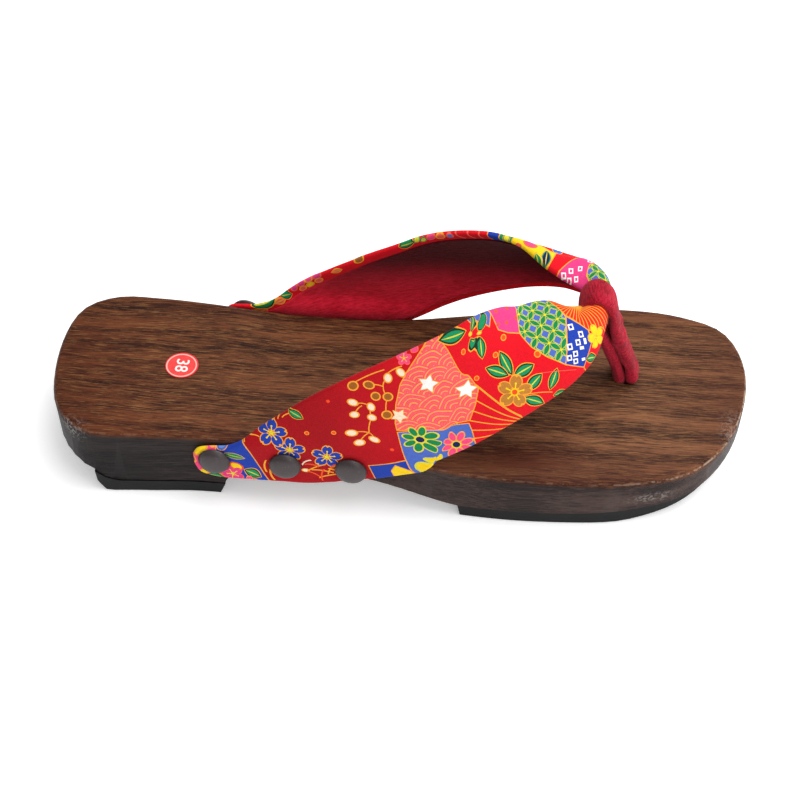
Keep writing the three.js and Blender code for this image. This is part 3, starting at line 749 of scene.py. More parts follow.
def lining_rows():
    """The lining's own points, from a little inside the front edge to just short of the turned rear edge."""
    points, maps = [], {False: [], True: []}
    first = next(i for i in range(len(strap_run)) if strap_run[i] > LINING_ENDS)
    last = max(i for i in range(len(strap_run)) if strap_run[-1] - strap_run[i] > LINING_ENDS)
    for i in range(first, last + 1):
        lane, arcs = folded_lanes[i], section_arcs(folded_lanes[i])
        inward = [point - folded_normals[i][j] * (walls[i] / 2 - LINING_WALL / 2)
                  for j, point in enumerate(lane)]
        width = arcs[-1] - arcs[0]
        low = min(LINING_FRONT, width * 0.2)
        high = width - min(LINING_REAR, width * 0.3)
        places = []
        for k in range(LINING_LANES):
            target = arcs[0] + mix(low, high, k / (LINING_LANES - 1))
            j = max(n for n in range(LANES - 1) if arcs[n] <= target + 1e-6)
            share = (target - arcs[j]) / (arcs[j + 1] - arcs[j])
            points.append(inward[j].lerp(inward[j + 1], share))
            places.append(cloth_places[i][j].lerp(cloth_places[i][j + 1], share))
        for inner_arm in (False, True):
            maps[inner_arm].append([print_place(place, inner_arm) for place in places])
    return points, maps, first


lining_points, lining_maps, lining_first = lining_rows()
lining = sheet_grid("strap_lining", len(lining_points) // LINING_LANES, LINING_LANES)
place_points(lining, lining_points)
set_cloth_map(lining, lining_maps, LINING_LANES, lining_first)
only(lining)
thicken = lining.modifiers.new("cloth_wall", "SOLIDIFY")
thicken.thickness = LINING_WALL * MM
thicken.offset = 0.0
bpy.ops.object.modifier_apply(modifier="cloth_wall")
close_seams(lining, 0.000001)

# %% [markdown]
# The thong is a soft rope of crepe. It comes up through the board's hole, goes round the strap's middle and
# back down the same hole. A closed tube follows that path, with folds where it is squeezed and a groove where
# the two runs meet.

# %% Toe thong
# Each row is one place along the cord: x, z, its middle's y, half its width, half its thickness.
THONG_PATH = [
    (204.2, 8, 9.8, 2.6, 1.4), (204.2, 15, 9.8, 2.9, 1.5), (204.3, 20, 9.8, 3.3, 1.7),
    (204.7, 23.2, 9.8, 4.9, 2.6), (203.4, 29, 9.4, 4.5, 2.45), (201.2, 35, 8.8, 4.4, 2.45),
    (199, 41, 8.1, 4.4, 2.5), (197.4, 47, 7.4, 4.8, 2.6), (196.2, 52, 7, 5.1, 2),
    (195.2, 57.5, 6.8, 5.4, 1.75), (193.9, 62.2, 6.8, 5.6, 1.8), (191.6, 65.2, 6.8, 5.7, 1.8),
    (189.2, 66.2, 6.8, 5.7, 1.8), (186.7, 64.9, 6.8, 5.6, 1.8), (185, 61.4, 6.8, 5.5, 1.7),
    (185.1, 57, 6.8, 5.2, 1.7), (187.4, 52.4, 7, 5, 1.9), (191.2, 48.2, 7.3, 4.7, 2.3),
    (193.7, 43.2, 7.9, 4.4, 2.45), (195.9, 37.6, 8.5, 4.3, 2.45), (198, 31.4, 9.2, 4.3, 2.4),
    (199.7, 25.6, 9.7, 4.5, 2.5), (200.5, 22.6, 9.8, 4.6, 2.4), (201.2, 18.4, 9.8, 3, 1.6),
    (201.3, 8, 9.8, 2.6, 1.4),
]
THONG_STEPS = 300
THONG_SIDES = 44
# Soft folds in the cord: where along it, how long, its side of the cord, its height.
THONG_FOLDS = [
    (0.292, 0.009, 0.0, -1.1), (0.272, 0.013, 0.4, 0.5), (0.318, 0.014, -0.5, 0.45),
    (0.42, 0.03, 0.6, 0.25), (0.22, 0.03, -0.3, 0.3), (0.16, 0.02, 0.5, -0.5), (0.135, 0.016, -0.6, 0.4),
    (0.72, 0.02, 0.3, -0.6), (0.80, 0.03, -0.2, 0.45), (0.86, 0.018, 0.2, -0.4), (0.48, 0.02, -0.4, -0.3),
]


def thong_points():
    points = []
    for i in range(THONG_STEPS + 1):
        share = i / THONG_STEPS
        x, z, middle, broad, thick = along_table(THONG_PATH, share)
        ahead = along_table(THONG_PATH, min(1.0, share + 0.004))
        behind = along_table(THONG_PATH, max(0.0, share - 0.004))
        way = Vector((ahead[0] - behind[0], ahead[2] - behind[2], ahead[1] - behind[1])).normalized()
        out = Vector((0, 1, 0)).cross(way).normalized()
        sideways = way.cross(out)
        end = rounding(min(share, 1 - share) * 180, 1.5)
        for k in range(THONG_SIDES + 1):
            angle = 2 * math.pi * k / THONG_SIDES
            c, s = math.cos(angle), math.sin(angle)
            side = math.copysign(abs(c) ** 0.75, c)
            lift = math.copysign(abs(s) ** 0.85, s)
            fold = 0.0
            for place, spread, lean, height in THONG_FOLDS:
                off = (share - place - 0.02 * lean * side) / spread
                fold += height * math.exp(-off * off) * (0.6 + 0.4 * math.cos(3 * (side - lean)))
            groove = -0.35 * math.exp(-((side - 0.25) / 0.16) ** 2) * (1 if lift < 0 else 0.4)
            reach = thick * end + (fold + groove) * abs(lift) * end
            points.append(Vector((x, middle,
                                  z)) - sideways * side * (broad + 0.8 * fold) * end + out * lift * reach)
    return points


thong = sheet_grid("thong_band", THONG_STEPS + 1, THONG_SIDES + 1)
place_points(thong, thong_points())
only(thong)
THONG_RUN = 175.0
THONG_ROUND = 24.0
layer = thong.data.uv_layers.active
layer.name = "cloth"
for corner in layer.data:
    corner.uv = (corner.uv[1] * THONG_RUN, corner.uv[0] * THONG_ROUND)
close_seams(thong)
print("toe thong:", len(thong.data.polygons), "faces")

# %% [markdown]
# The print is a traditional kind: patches of fans, waves and lattice with flowers between them, all outlined
# in gold. These are its inks, as listed colours.

# %% Colours of the print
INK = {
    "red": "#D80E1E", "shaded_red": "#92050F", "orange": "#E8501E", "gold": "#F0A030", "yellow": "#F0C818",
    "lemon": "#D8CC38", "green": "#12804A", "leaf": "#178A58", "dark": "#16301E", "royal": "#1E3CA0",
    "iris": "#4A66B8", "sky": "#6080C8", "coral": "#F0604C", "pink": "#F0487C", "magenta": "#DC3C7C",
    "flame": "#D4281A", "white": "#F4ECE8", "cream": "#F2DCC0", "brown": "#9A5A20", "navy": "#141E50",
    "tan": "#B87830",
}
print("inks:", len(INK))

# %% [markdown]
# Each shape of the print is worked out from a distance, and an ink covers the cloth wherever that distance is
# under a limit. A larger limit in gold under a smaller one in colour gives the gold outline. No picture is
# used, so the edges stay sharp at any distance.

# %% Printing one ink
def ink(tree, cloth, depth, limit, colour):
    """Prints a colour over the cloth wherever a shape's depth is under the limit."""
    inside = add(tree, "Math.LESS_THAN", depth, limit)
    return add(tree, "Mix", {0: inside, 6: cloth, 7: colour}, **COLOUR)


def motif_group(name, layers):
    """A node group that prints one motif: layers gives each ink's depth, its limit and its colour."""
    tree = bpy.data.node_groups.new(name, "ShaderNodeTree")
    for title, kind in (("Cloth", "Color"), ("Place", "Vector"), ("Centre", "Vector"), ("Turn", "Vector"),
                        ("Size", "Vector"), ("Fill", "Color"), ("Line", "Color")):
        tree.interface.new_socket(name=title, in_out="INPUT", socket_type="NodeSocket" + kind)
    tree.interface.new_socket(name="Printed", in_out="OUTPUT", socket_type="NodeSocketColor")
    given = tree.nodes.new("NodeGroupInput").outputs
    local = add(tree, "Mapping", {"Vector": given["Place"], "Location": given["Centre"],
                                  "Rotation": given["Turn"], "Scale": given["Size"]}, vector_type="TEXTURE")
    cloth = given["Cloth"]
    for depth, limit, name in layers(tree, local):
        colour = given[name] if name in ("Fill", "Line") else rgb(INK[name])
        cloth = ink(tree, cloth, depth, limit, colour)
    tree.links.new(cloth, tree.nodes.new("NodeGroupOutput").inputs[0])
    return tree


def petals(tree, local, count):
    """Turns every petal of a flower onto the x axis, and gives the distance along it and off it."""
    sides = add(tree, "SeparateXYZ", local, out=slice(3))
    angle = add(tree, "Math.ARCTAN2", sides[1], sides[0])
    rest = add(tree, "Math.WRAP", angle, math.pi / count, -math.pi / count)
    radius = add(tree, "VectorMath.LENGTH", local, out=1)
    cosine = add(tree, "Math.COSINE", rest)
    sine = add(tree, "Math.SINE", rest)
    along = add(tree, "Math.MULTIPLY", radius, cosine)
    off = add(tree, "Math.MULTIPLY", radius, sine)
    off = add(tree, "Math.ABSOLUTE", off)
    return along, off, radius


def oval(tree, along, off, middle, length, breadth):
    """How far out a point is from the middle of an oval petal: 1 on its rim."""
    a = add(tree, "Math.MULTIPLY_ADD", along, 1 / length, -middle / length)
    b = add(tree, "Math.MULTIPLY", off, 1 / breadth)
    both = add(tree, "CombineXYZ", a, b)
    return add(tree, "VectorMath.LENGTH", both, out=1)

# %% [markdown]
# Each kind of motif is one node group. A flower folds the plane so that every petal lies on the x axis, and
# then draws a single oval. The plum blossom has five round petals with a notch, and fine stamens.

# %% Blossom
def blossom(tree, local):
    along, off, radius = petals(tree, local, 5)
    petal = oval(tree, along, off, 0.60, 0.40, 0.34)
    notch = add(tree, "Math.MULTIPLY_ADD", off, -0.9, along)
    notch = add(tree, "Math.MULTIPLY", notch, 1.13)
    depth = add(tree, "Math.MAXIMUM", petal, notch)
    stamen = add(tree, "Math.MULTIPLY", off, 1 / 0.035)
    reach = add(tree, "Math.MULTIPLY", along, 1 / 0.5)
    stamen = add(tree, "Math.MAXIMUM", stamen, reach)
    anther = oval(tree, along, off, 0.5, 0.06, 0.06)
    return ((depth, 1.12, "Line"), (depth, 0.95, "Fill"), (stamen, 1.0, "yellow"), (anther, 1.0, "yellow"),
            (radius, 0.15, "lemon"))

# %% [markdown]
# The daisy has eight narrow petals round a dark middle.

# %% Daisy
def daisy(tree, local):
    along, off, radius = petals(tree, local, 8)
    petal = oval(tree, along, off, 0.62, 0.38, 0.215)
    return (petal, 1.1, "Line"), (petal, 0.84, "Fill"), (radius, 0.27, "lemon"), (radius, 0.21, "navy")

# %% [markdown]
# The smaller motifs fill the ground between the panels: stars, veined leaves, berries and small squares.

# %% Star, leaf, berry and square
def star(tree, local):
    along, off, radius = petals(tree, local, 5)
    slant = add(tree, "Math.MULTIPLY", off, 0.90)
    depth = add(tree, "Math.MULTIPLY_ADD", along, 0.46, slant)
    return (depth, 0.50, "Line"), (depth, 0.43, "Fill")


def leaf(tree, local):
    sides = add(tree, "SeparateXYZ", local, out=slice(3))
    off = add(tree, "Math.ABSOLUTE", sides[1])
    depth = add(tree, "Math.MULTIPLY_ADD", sides[0], sides[0], off)
    vein = add(tree, "Math.MULTIPLY_ADD", off, 6.0, depth)
    return (depth, 1.22, "gold"), (depth, 1.04, "Line"), (depth, 0.78, "Fill"), (vein, 0.8, "lemon")


def berry(tree, local):
    radius = add(tree, "VectorMath.LENGTH", local, out=1)
    return (radius, 1.0, "Line"), (radius, 0.72, "Fill")


def square(tree, local):
    sides = add(tree, "SeparateXYZ", local, out=slice(3))
    a = add(tree, "Math.ABSOLUTE", sides[0])
    b = add(tree, "Math.ABSOLUTE", sides[1])
    depth = add(tree, "Math.MAXIMUM", a, b)
    return (depth, 1.0, "Line"), (depth, 0.52, "Fill")

# %% [markdown]
# A stem is a thin line that bows to one side. Several of them in a row make a scroll.

# %% Stem and scroll
def stem(tree, local):
    """A line that bows to one side: its x runs along it and Size's y is half its thickness."""
    sides = add(tree, "SeparateXYZ", local, out=slice(3))
    x, y = sides[0], sides[1]
    bow = add(tree, "Math.MULTIPLY_ADD", x, x, -1.0)
    y = add(tree, "Math.MULTIPLY_ADD", bow, 2.2, y)
    off = add(tree, "Math.ABSOLUTE", y)
    reach = add(tree, "Math.ABSOLUTE", x)
    depth = add(tree, "Math.MAXIMUM", off, reach)
    return ((depth, 1.0, "Fill"),)


MOTIFS = {layers.__name__: motif_group(layers.__name__, layers)
          for layers in (blossom, daisy, star, leaf, berry, square, stem)}
print("motif groups:", ", ".join(MOTIFS))

# %% [markdown]
# The patches are straight-sided. A point is inside a patch when it is behind all of its sides, which takes
# one dot product for each side. Inside, a patch is plain, ribbed like a fan, scaled like waves or a lattice
# of petals.

# %% Panels
def panel_depth(tree, place, corners):
    """How far outside a panel a point of the cloth is, in millimetres: under 0 inside its corners."""
    cx = sum(c[0] for c in corners) / len(corners)
    cy = sum(c[1] for c in corners) / len(corners)
    depth = None
    for (ax, ay), (bx, by) in zip(corners, corners[1:] + corners[:1]):
        length = math.hypot(bx - ax, by - ay)
        nx, ny = (by - ay) / length, (ax - bx) / length
        if (cx - ax) * nx + (cy - ay) * ny > 0:
            nx, ny = -nx, -ny
        edge = add(tree, "VectorMath.DOT_PRODUCT", place, (nx, ny, -(ax * nx + ay * ny)), out=1)
        depth = edge if depth is None else add(tree, "Math.MAXIMUM", depth, edge)
    return depth


def rib_distance(tree, place, centre, step):
    """Distance in millimetres to the nearest of a fan's ribs, which spread from its pivot."""
    arm = add(tree, "VectorMath.SUBTRACT", place, (centre[0], centre[1], 1.0))
    sides = add(tree, "SeparateXYZ", arm, out=slice(3))
    angle = add(tree, "Math.ARCTAN2", sides[1], sides[0])
    half = math.radians(step) / 2
    rest = add(tree, "Math.WRAP", angle, half, -half)
    sine = add(tree, "Math.SINE", rest)
    radius = add(tree, "VectorMath.LENGTH", arm, out=1)
    off = add(tree, "Math.MULTIPLY", sine, radius)
    return add(tree, "Math.ABSOLUTE", off)


def wave_colour(tree, place, radius, low, high):
    """Overlapping wave scales: rings round staggered centres, each row lying over the one above it."""
    noise = add(tree, "TexNoise", {"Vector": place, "Scale": 0.12, "Detail": 1.0}, out=1)
    wobble = add(tree, "VectorMath.MULTIPLY", noise, (3.0, 3.0, 0.0))
    bent = add(tree, "VectorMath.ADD", place, wobble)
    sides = add(tree, "SeparateXYZ", bent, out=slice(3))
    rows = add(tree, "Math.MULTIPLY", sides[1], 2 / radius)
    row = add(tree, "Math.FLOOR", rows)
    reach = []
    for lower in (1.0, 0.0):
        here = add(tree, "Math.SUBTRACT", row, lower)
        up = add(tree, "Math.MULTIPLY_ADD", here, -radius / 2, sides[1])
        odd = add(tree, "Math.PINGPONG", here, 1.0)
        across = add(tree, "Math.MULTIPLY_ADD", odd, -radius, sides[0])
        across = add(tree, "Math.WRAP", across, radius, -radius)
        both = add(tree, "CombineXYZ", across, up)
        reach.append(add(tree, "VectorMath.LENGTH", both, out=1))
    front = add(tree, "Math.LESS_THAN", reach[0], radius)
    ring = add(tree, "Mix", {0: front, 2: reach[1], 3: reach[0]}, out=0, data_type="FLOAT")
    bands = add(tree, "Math.MULTIPLY", ring, 3.5 / radius)
    band = add(tree, "Math.PINGPONG", bands, 0.5)
    cloth = ink(tree, rgb(high), band, 0.32, rgb(low))
    return ink(tree, cloth, band, 0.13, rgb(INK["gold"]))


def lattice_colour(tree, place, pitch, turn, x, y):
    """Pointed petals on the lines of a lattice, a blue square in each mesh and a star on each crossing."""
    turned = add(tree, "Mapping", {"Vector": place, "Location": (x, y, 1), "Rotation": (0, 0, turn),
                                   "Scale": (pitch, pitch, 1)}, vector_type="TEXTURE")
    sides = add(tree, "SeparateXYZ", turned, out=slice(3))
    u = add(tree, "Math.PINGPONG", sides[0], 0.5)
    v = add(tree, "Math.PINGPONG", sides[1], 0.5)
    nearest = add(tree, "Math.MINIMUM", u, v)
    farthest = add(tree, "Math.MAXIMUM", u, v)
    square = add(tree, "Math.MULTIPLY_ADD", nearest, -1.0, 0.5)
    swell = add(tree, "Math.MULTIPLY", farthest, math.pi)
    swell = add(tree, "Math.SINE", swell)
    petal = add(tree, "Math.MULTIPLY_ADD", swell, -0.19, nearest)
    cloth = rgb(INK["leaf"])
    for depth, limit, colour in ((square, 0.27, "lemon"), (square, 0.235, "iris"), (petal, 0.018, "lemon"),
                                 (petal, -0.024, "green"), (farthest, 0.08, "yellow")):
        cloth = ink(tree, cloth, depth, limit, rgb(INK[colour]))
    return cloth

# %% [markdown]
# One material prints one stretch of the strap: the red ground first, then the panels, then the motifs over
# them. The red is darker towards the tacks, a painted shade for the lower arm. The cotton's weave is a fine
# relief with hardly any gloss.

# %% Printed cotton
def printed_cotton(name, start, end, panels, motifs):
    """Cotton for one stretch of the strap, printed with the panels and then the motifs that reach into it."""
    panels = [row for row in panels
              if min(c[0] for c in row[3]) < end + 1 and max(c[0] for c in row[3]) > start - 1]
    motifs = [(kind, fill, line, *place) for kind, fill, line, places in motifs for place in places
              if start - place[2] - 1 < place[0] < end + place[2] + 1]
    material, tree = new_material(name)
    cloth_map = add(tree, "UVMap", uv_map="cloth")
    place = add(tree, "VectorMath.ADD", cloth_map, (0, 0, 1))
    run = add(tree, "VectorMath.DOT_PRODUCT", place, (1, 0, 0), out=1)
    # Painted shade: the red ground darkens towards the tacks, where the lower arm gets less light; a mottle
    # breaks it up.
    painted_light_share = add(tree, "MapRange", run, 52.0, 112.0)
    mottle = add(tree, "TexNoise", {"Vector": place, "Scale": 0.05, "Detail": 2.0})
    painted_light_share = add(tree, "Math.MULTIPLY_ADD", mottle, 0.3, painted_light_share)
    cloth = add(tree, "Mix", {0: painted_light_share, 6: rgb(INK["shaded_red"]), 7: rgb(INK["red"])}, **COLOUR)
    for pattern, fill, detail, corners in panels:
        depth = panel_depth(tree, place, corners)
        cloth = ink(tree, cloth, depth, 0.22, rgb(INK["gold"]))
        colour = rgb(INK[fill])
        if pattern == "waves":
            colour = wave_colour(tree, place, detail, INK["pink"], INK["coral"])
        if pattern == "lattice":
            pitch, turn, x, y = detail
            colour = lattice_colour(tree, place, pitch, math.radians(turn), x, y)
        if pattern == "ribs":
            x, y, step, wide = detail
            colour = ink(tree, colour, rib_distance(tree, place, (x, y), step), wide, rgb(INK["gold"]))
        cloth = ink(tree, cloth, depth, -0.12, colour)
    for kind, fill, line, x, y, length, breadth, turn in motifs:
        group = tree.nodes.new("ShaderNodeGroup")
        group.node_tree = MOTIFS[kind]
        tree.links.new(cloth, group.inputs["Cloth"])
        tree.links.new(place, group.inputs["Place"])
        values = {"Centre": (x, y, 1), "Turn": (0, 0, math.radians(turn)), "Size": (length, breadth, 1),
                  "Fill": rgb(INK[fill]), "Line": rgb(INK[line])}
        for title, value in values.items():
            group.inputs[title].default_value = value
        cloth = group.outputs[0]
    fade = add(tree, "TexNoise", {"Vector": place, "Scale": 1.4, "Detail": 3.0})
    fade = add(tree, "MapRange", fade, 0.3, 0.7, 0.90, 1.08)
    shade = add(tree, "VectorMath.SCALE", {0: cloth, "Scale": fade})
    warp = add(tree, "TexWave", {"Vector": place, "Scale": 0.42, "Distortion": 0.4}, bands_direction="X")
    weft = add(tree, "TexWave", {"Vector": place, "Scale": 0.42, "Distortion": 0.4}, bands_direction="Y")
    weave = add(tree, "Math.MULTIPLY", warp, weft)
    finish_surface(tree, shade, 0.8, (weave, 0.25, 0.0002),
                   {"Specular IOR Level": 0.12, "Sheen Weight": 0.04})
    print(name, "prints", len(panels), "panels and", len(motifs), "motifs with", len(tree.nodes), "nodes")
    return material

# %% [markdown]
# The print's places are charted in millimetres: x from the tacks to the knot, y across the strap.
# Where a motif overlaps another, the later row lies on top.

# %% What is printed on the outer arm
# Each panel row is its pattern, its colour, the pattern's own measures and its corners on the print.
OUTER_PANELS = [
    ("flat", "pink", None, [(-8, 10), (12, 10), (10, -22), (-8, -16)]),
    ("flat", "royal", None, [(10, 8), (20.4, 8), (20.8, 0), (21.4, -9), (22.2, -22), (8, -22), (9.5, -6)]),
    ("flat", "royal", None, [(58, -20.2), (71.2, -21.2), (71.5, -34), (57, -34)]),
    ("flat", "yellow", None, [(64.6, -24.2), (67, -22), (70.6, -25), (70, -34), (64, -34)]),
    ("ribs", "red", (113.7, -27, 10.2, 0.2), [(104.3, -3.5), (111.6, -21.3), (112.5, -34), (92, -34),
     (90, -16)]),
    ("flat", "iris", None, [(73.6, -8.2), (84, -11.4), (96.9, -14.2), (95.9, -18.3), (95.2, -25), (92, -34),
     (70.4, -36), (71, -20.3)]),
    ("waves", "coral", 6, [(99, 22), (92.7, 17.2), (87, 13.2), (81.5, 8), (77.2, 1.3), (74.2, -5.4),
     (73.6, -8.2), (84, -11.4), (96.9, -14.2), (101, -9.7), (104.3, -5), (103.2, 3), (101.6, 12)]),
    ("flat", "iris", None, [(113.8, 17.5), (120, 21), (119.3, 15.6), (116.8, 11.9)]),
    ("flat", "magenta", None, [(119.3, 20), (131, 20), (131.9, 13.2), (126, 2.6), (122, 5.5), (118.2, 9.8),
     (116.8, 11.9), (119.3, 15.6)]),
    ("lattice", "green", (4.4, 27, 135.8, 5.9), [(131.9, 13.2), (136, 20), (146, 17), (143.6, 2.7),
     (142.5, -2.9), (138.2, -8), (132.7, -14.5), (128.7, -8.6), (126.6, -3.5), (126, 2.6)]),
    ("ribs", "flame", (152.5, -0.8, 8, 0.15), [(145.5, 17), (166, 14), (168, -16), (150, -20), (146.2, -10.8),
     (142.6, -3.2), (143.6, 3)]),
    ("flat", "red", None, [(146.2, -11), (152, -13), (158, -24), (139, -28), (138.1, -19.9)]),
    ("flat", "royal", None, [(142.6, -3.2), (146.2, -10.8), (144.6, -14.4), (138.1, -19.9), (132.7, -14.5),
     (138.2, -8)]),
]
# Each motif row is its kind, its fill and its line, then for each one its place, half its length, half its
# breadth and its turn.
OUTER_MOTIFS = [
    ("berry", "yellow", "gold", [(4.6, 3.6, 3.4, 2.2, 20)]),
    ("leaf", "leaf", "lemon", [(10, 4.6, 3.6, 1.7, -10)]),
    ("berry", "magenta", "gold", [(-0.5, 0.6, 1.8, 2.4, 0)]),
    ("leaf", "leaf", "dark", [(4, -10, 3.4, 1.5, -35)]),
    ("berry", "yellow", "gold", [(0.8, -6.6, 1.7, 1.5, 0)]),
    ("leaf", "green", "leaf", [(15, -2.6, 3.6, 1.2, -35)]),
    ("leaf", "sky", "iris", [(12.6, 3, 2.6, 1.8, -15)]),
    ("berry", "yellow", "orange", [(13.4, -7.4, 2.7, 1.8, -50)]),
    ("blossom", "magenta", "coral", [(10.4, -10.4, 4, 4, 20)]),
    ("leaf", "leaf", "dark", [(17.6, -12.4, 3.4, 2.2, -48)]),
    ("blossom", "pink", "gold", [(14.4, -16.4, 3.4, 3.4, 0)]),
    ("stem", "gold", "gold", [(22.4, 4.2, 2.6, 0.2, 62), (24.6, 3, 2, 0.2, -20), (23.6, -10.4, 3, 0.3, 70)]),
    ("stem", "orange", "gold", [(25.2, -11.6, 3, 0.3, 70)]),
    ("stem", "gold", "gold", [(24, -14.6, 3, 0.3, 80), (26.2, -9, 2, 0.25, 40), (38.4, 9.2, 2.8, 0.25, 40),
     (40.2, 8, 2.2, 0.2, 10)]),
    ("leaf", "leaf", "dark", [(43.2, 7.6, 2.8, 1.5, -51), (105.3, 16.6, 6, 2.4, -14),
     (115.6, 14.9, 2.9, 1.1, 48), (111.2, 7.4, 3.8, 1.5, 71)]),
    ("blossom", "royal", "gold", [(45.6, -12.4, 5.4, 5.4, 62), (34.7, -5.4, 5.4, 5.4, 60),
     (31.6, 2.8, 5.7, 5.7, 65)]),
    ("stem", "cream", "gold", [(37.6, -13, 2.2, 0.3, 20)]),
    ("berry", "cream", "gold", [(35.6, -16.4, 1.5, 0.9, -20)]),
    ("stem", "gold", "gold", [(39.6, -16.4, 3.8, 0.26, 10), (41, -18.6, 3.8, 0.26, -30),
     (44.4, -18.6, 2.8, 0.26, 40)]),
    ("stem", "orange", "gold", [(37.6, -19.2, 2.6, 0.26, -55)]),
    ("stem", "gold", "gold", [(42.6, -21.6, 4, 0.26, -8)]),
    ("stem", "orange", "gold", [(46.8, -21.4, 2.2, 0.3, 70), (40.6, -20.2, 3, 0.3, 60),
     (38.6, -14.8, 2.4, 0.3, -30)]),
    ("stem", "gold", "gold", [(44.8, -20, 2.6, 0.3, -60), (66.7, 5, 2, 0.2, -25), (64.5, 3.3, 2.3, 0.2, 34),
     (68.4, 1.2, 2, 0.2, 70), (66, -3.6, 3.3, 0.2, 58), (61.3, -5.7, 3, 0.2, -15), (61.7, -8.1, 2.9, 0.2, 33),
     (64.4, -8.1, 1.6, 0.2, -81), (77.3, 10.5, 1.8, 0.2, 42), (73.9, 10.2, 2.3, 0.2, -24),
     (76, 7.2, 2, 0.2, 90), (74.4, 2, 3.4, 0.2, 64), (72.5, 14, 6.3, 0.2, 8), (81.6, 13.6, 3.2, 0.2, 12)]),
    ("stem", "orange", "gold", [(46.2, -17.6, 2, 0.3, 10)]),
    ("berry", "orange", "gold", [(43.7, -0.4, 0.85, 0.85, 0), (52.6, -2.9, 0.85, 0.85, 0),
     (107.5, 9, 1.1, 1.1, 0), (114.5, 2, 1, 1, 0), (119.7, 5.2, 1.1, 1.1, 0), (126.7, -6.2, 1.1, 1.1, 0)]),
    ("berry", "orange", "red", [(56.1, 9.4, 0.75, 0.75, 0), (68.6, -15.6, 0.85, 0.85, 0)]),
    ("berry", "cream", "gold", [(63.9, 6.6, 2, 1.4, -35), (62.5, 2, 1.8, 1.4, -10), (69.1, 3.2, 1.4, 1.8, 0),
     (67.7, -0.8, 1.7, 1.4, -40), (58.3, -4.9, 2.3, 1.5, -18), (59.2, -9.7, 2.2, 1.5, -5),
     (64.7, -9.7, 2.1, 1.3, -45), (78.7, 11.7, 1.5, 1.9, -20), (83.5, 12.2, 1.4, 2, 20)]),
    ("berry", "brown", "gold", [(66.5, 12.4, 2, 1.8, 20), (71.7, 11.2, 2, 1.6, -30), (72.2, 6.6, 1.7, 1.7, 0),
     (76, 5.2, 1.8, 1.7, 0), (72.9, -1.3, 1.9, 1.8, 0)]),
    ("blossom", "pink", "coral", [(86.4, 16.6, 2.6, 2.6, 0)]),
    ("berry", "pink", "coral", [(90.7, 18.2, 1.5, 1.1, 0)]),
    ("star", "white", "gold", [(90.5, 5.3, 3.6, 3.6, 56), (100.9, -3.2, 3.6, 3.6, 56)]),
    ("star", "cream", "gold", [(76.6, -3, 3, 3, 40)]),
    ("daisy", "green", "lemon", [(78.9, -13.9, 5.6, 5.6, 10)]),
    ("daisy", "pink", "gold", [(89, -21.5, 5.8, 5.8, 0)]),
    ("berry", "yellow", "lemon", [(73.9, -24.2, 2, 1.8, 0), (76.8, -22.4, 2.2, 1.8, 0),
     (80.4, -24.2, 2.4, 1.9, 0)]),
    ("berry", "lemon", "gold", [(112.9, 12.5, 0.9, 0.9, 0)]),
    ("berry", "orange", "gold", [(105.4, -1.3, 0.9, 0.9, 0)]),
    ("berry", "orange", "pink", [(121.4, 14.4, 0.8, 0.8, 0), (123.2, 8.6, 0.8, 0.8, 0),
     (126.2, 12.4, 0.8, 0.8, 0), (120, 10.2, 0.8, 0.8, 0), (127.8, 7.6, 0.8, 0.8, 0)]),
    ("leaf", "leaf", "dark", [(116.3, -2.4, 4.4, 1.8, 90), (112.4, -3.1, 4.2, 1.8, -49),
     (120.2, -7.7, 3.6, 1.8, -5), (120.9, -12.8, 3.5, 1.8, 14), (126.8, -16.2, 3.6, 1.6, 43),
     (117.9, -18.8, 4.1, 1.8, -57), (126.5, -22.6, 2.4, 1.3, -20), (142.3, -19.3, 2.6, 1.5, -30)]),
    ("blossom", "tan", "gold", [(114.1, -12, 5.6, 5.6, 52)]),
    ("berry", "orange", "yellow", [(114.1, -12, 1.2, 1.2, 0)]),
    ("stem", "gold", "gold", [(120.1, -17.2, 5.3, 0.16, -35)]),
    ("square", "royal", "white", [(141.4, -6.6, 0.95, 0.95, -25), (142.9, -10.2, 0.9, 0.9, -25),
     (140.4, -11.5, 0.9, 0.9, -25), (137, -10.9, 0.95, 0.95, -25), (137.5, -13.8, 0.9, 0.9, -25),
     (134.9, -13.6, 0.9, 0.9, -25), (136.3, -15.9, 0.9, 0.9, -25)]),
    ("square", "white", "white", [(142.9, -12.6, 0.5, 0.9, -25), (140.6, -13.6, 0.8, 0.5, -25),
     (139.2, -17.2, 0.7, 0.5, -25)]),
    ("blossom", "yellow", "gold", [(148, -14.4, 4, 4, 10)]),
    ("stem", "coral", "gold", [(129.8, -15.2, 6.3, 0.1, -33)]),
]
print("outer arm:", len(OUTER_PANELS), "panels,", len(OUTER_MOTIFS), "rows of motifs")

# %% [markdown]
# The inner arm shows little of its print in the photo. The part near the knot and the row along its top edge
# follow the photo, and the rest repeats the same kinds of patches.

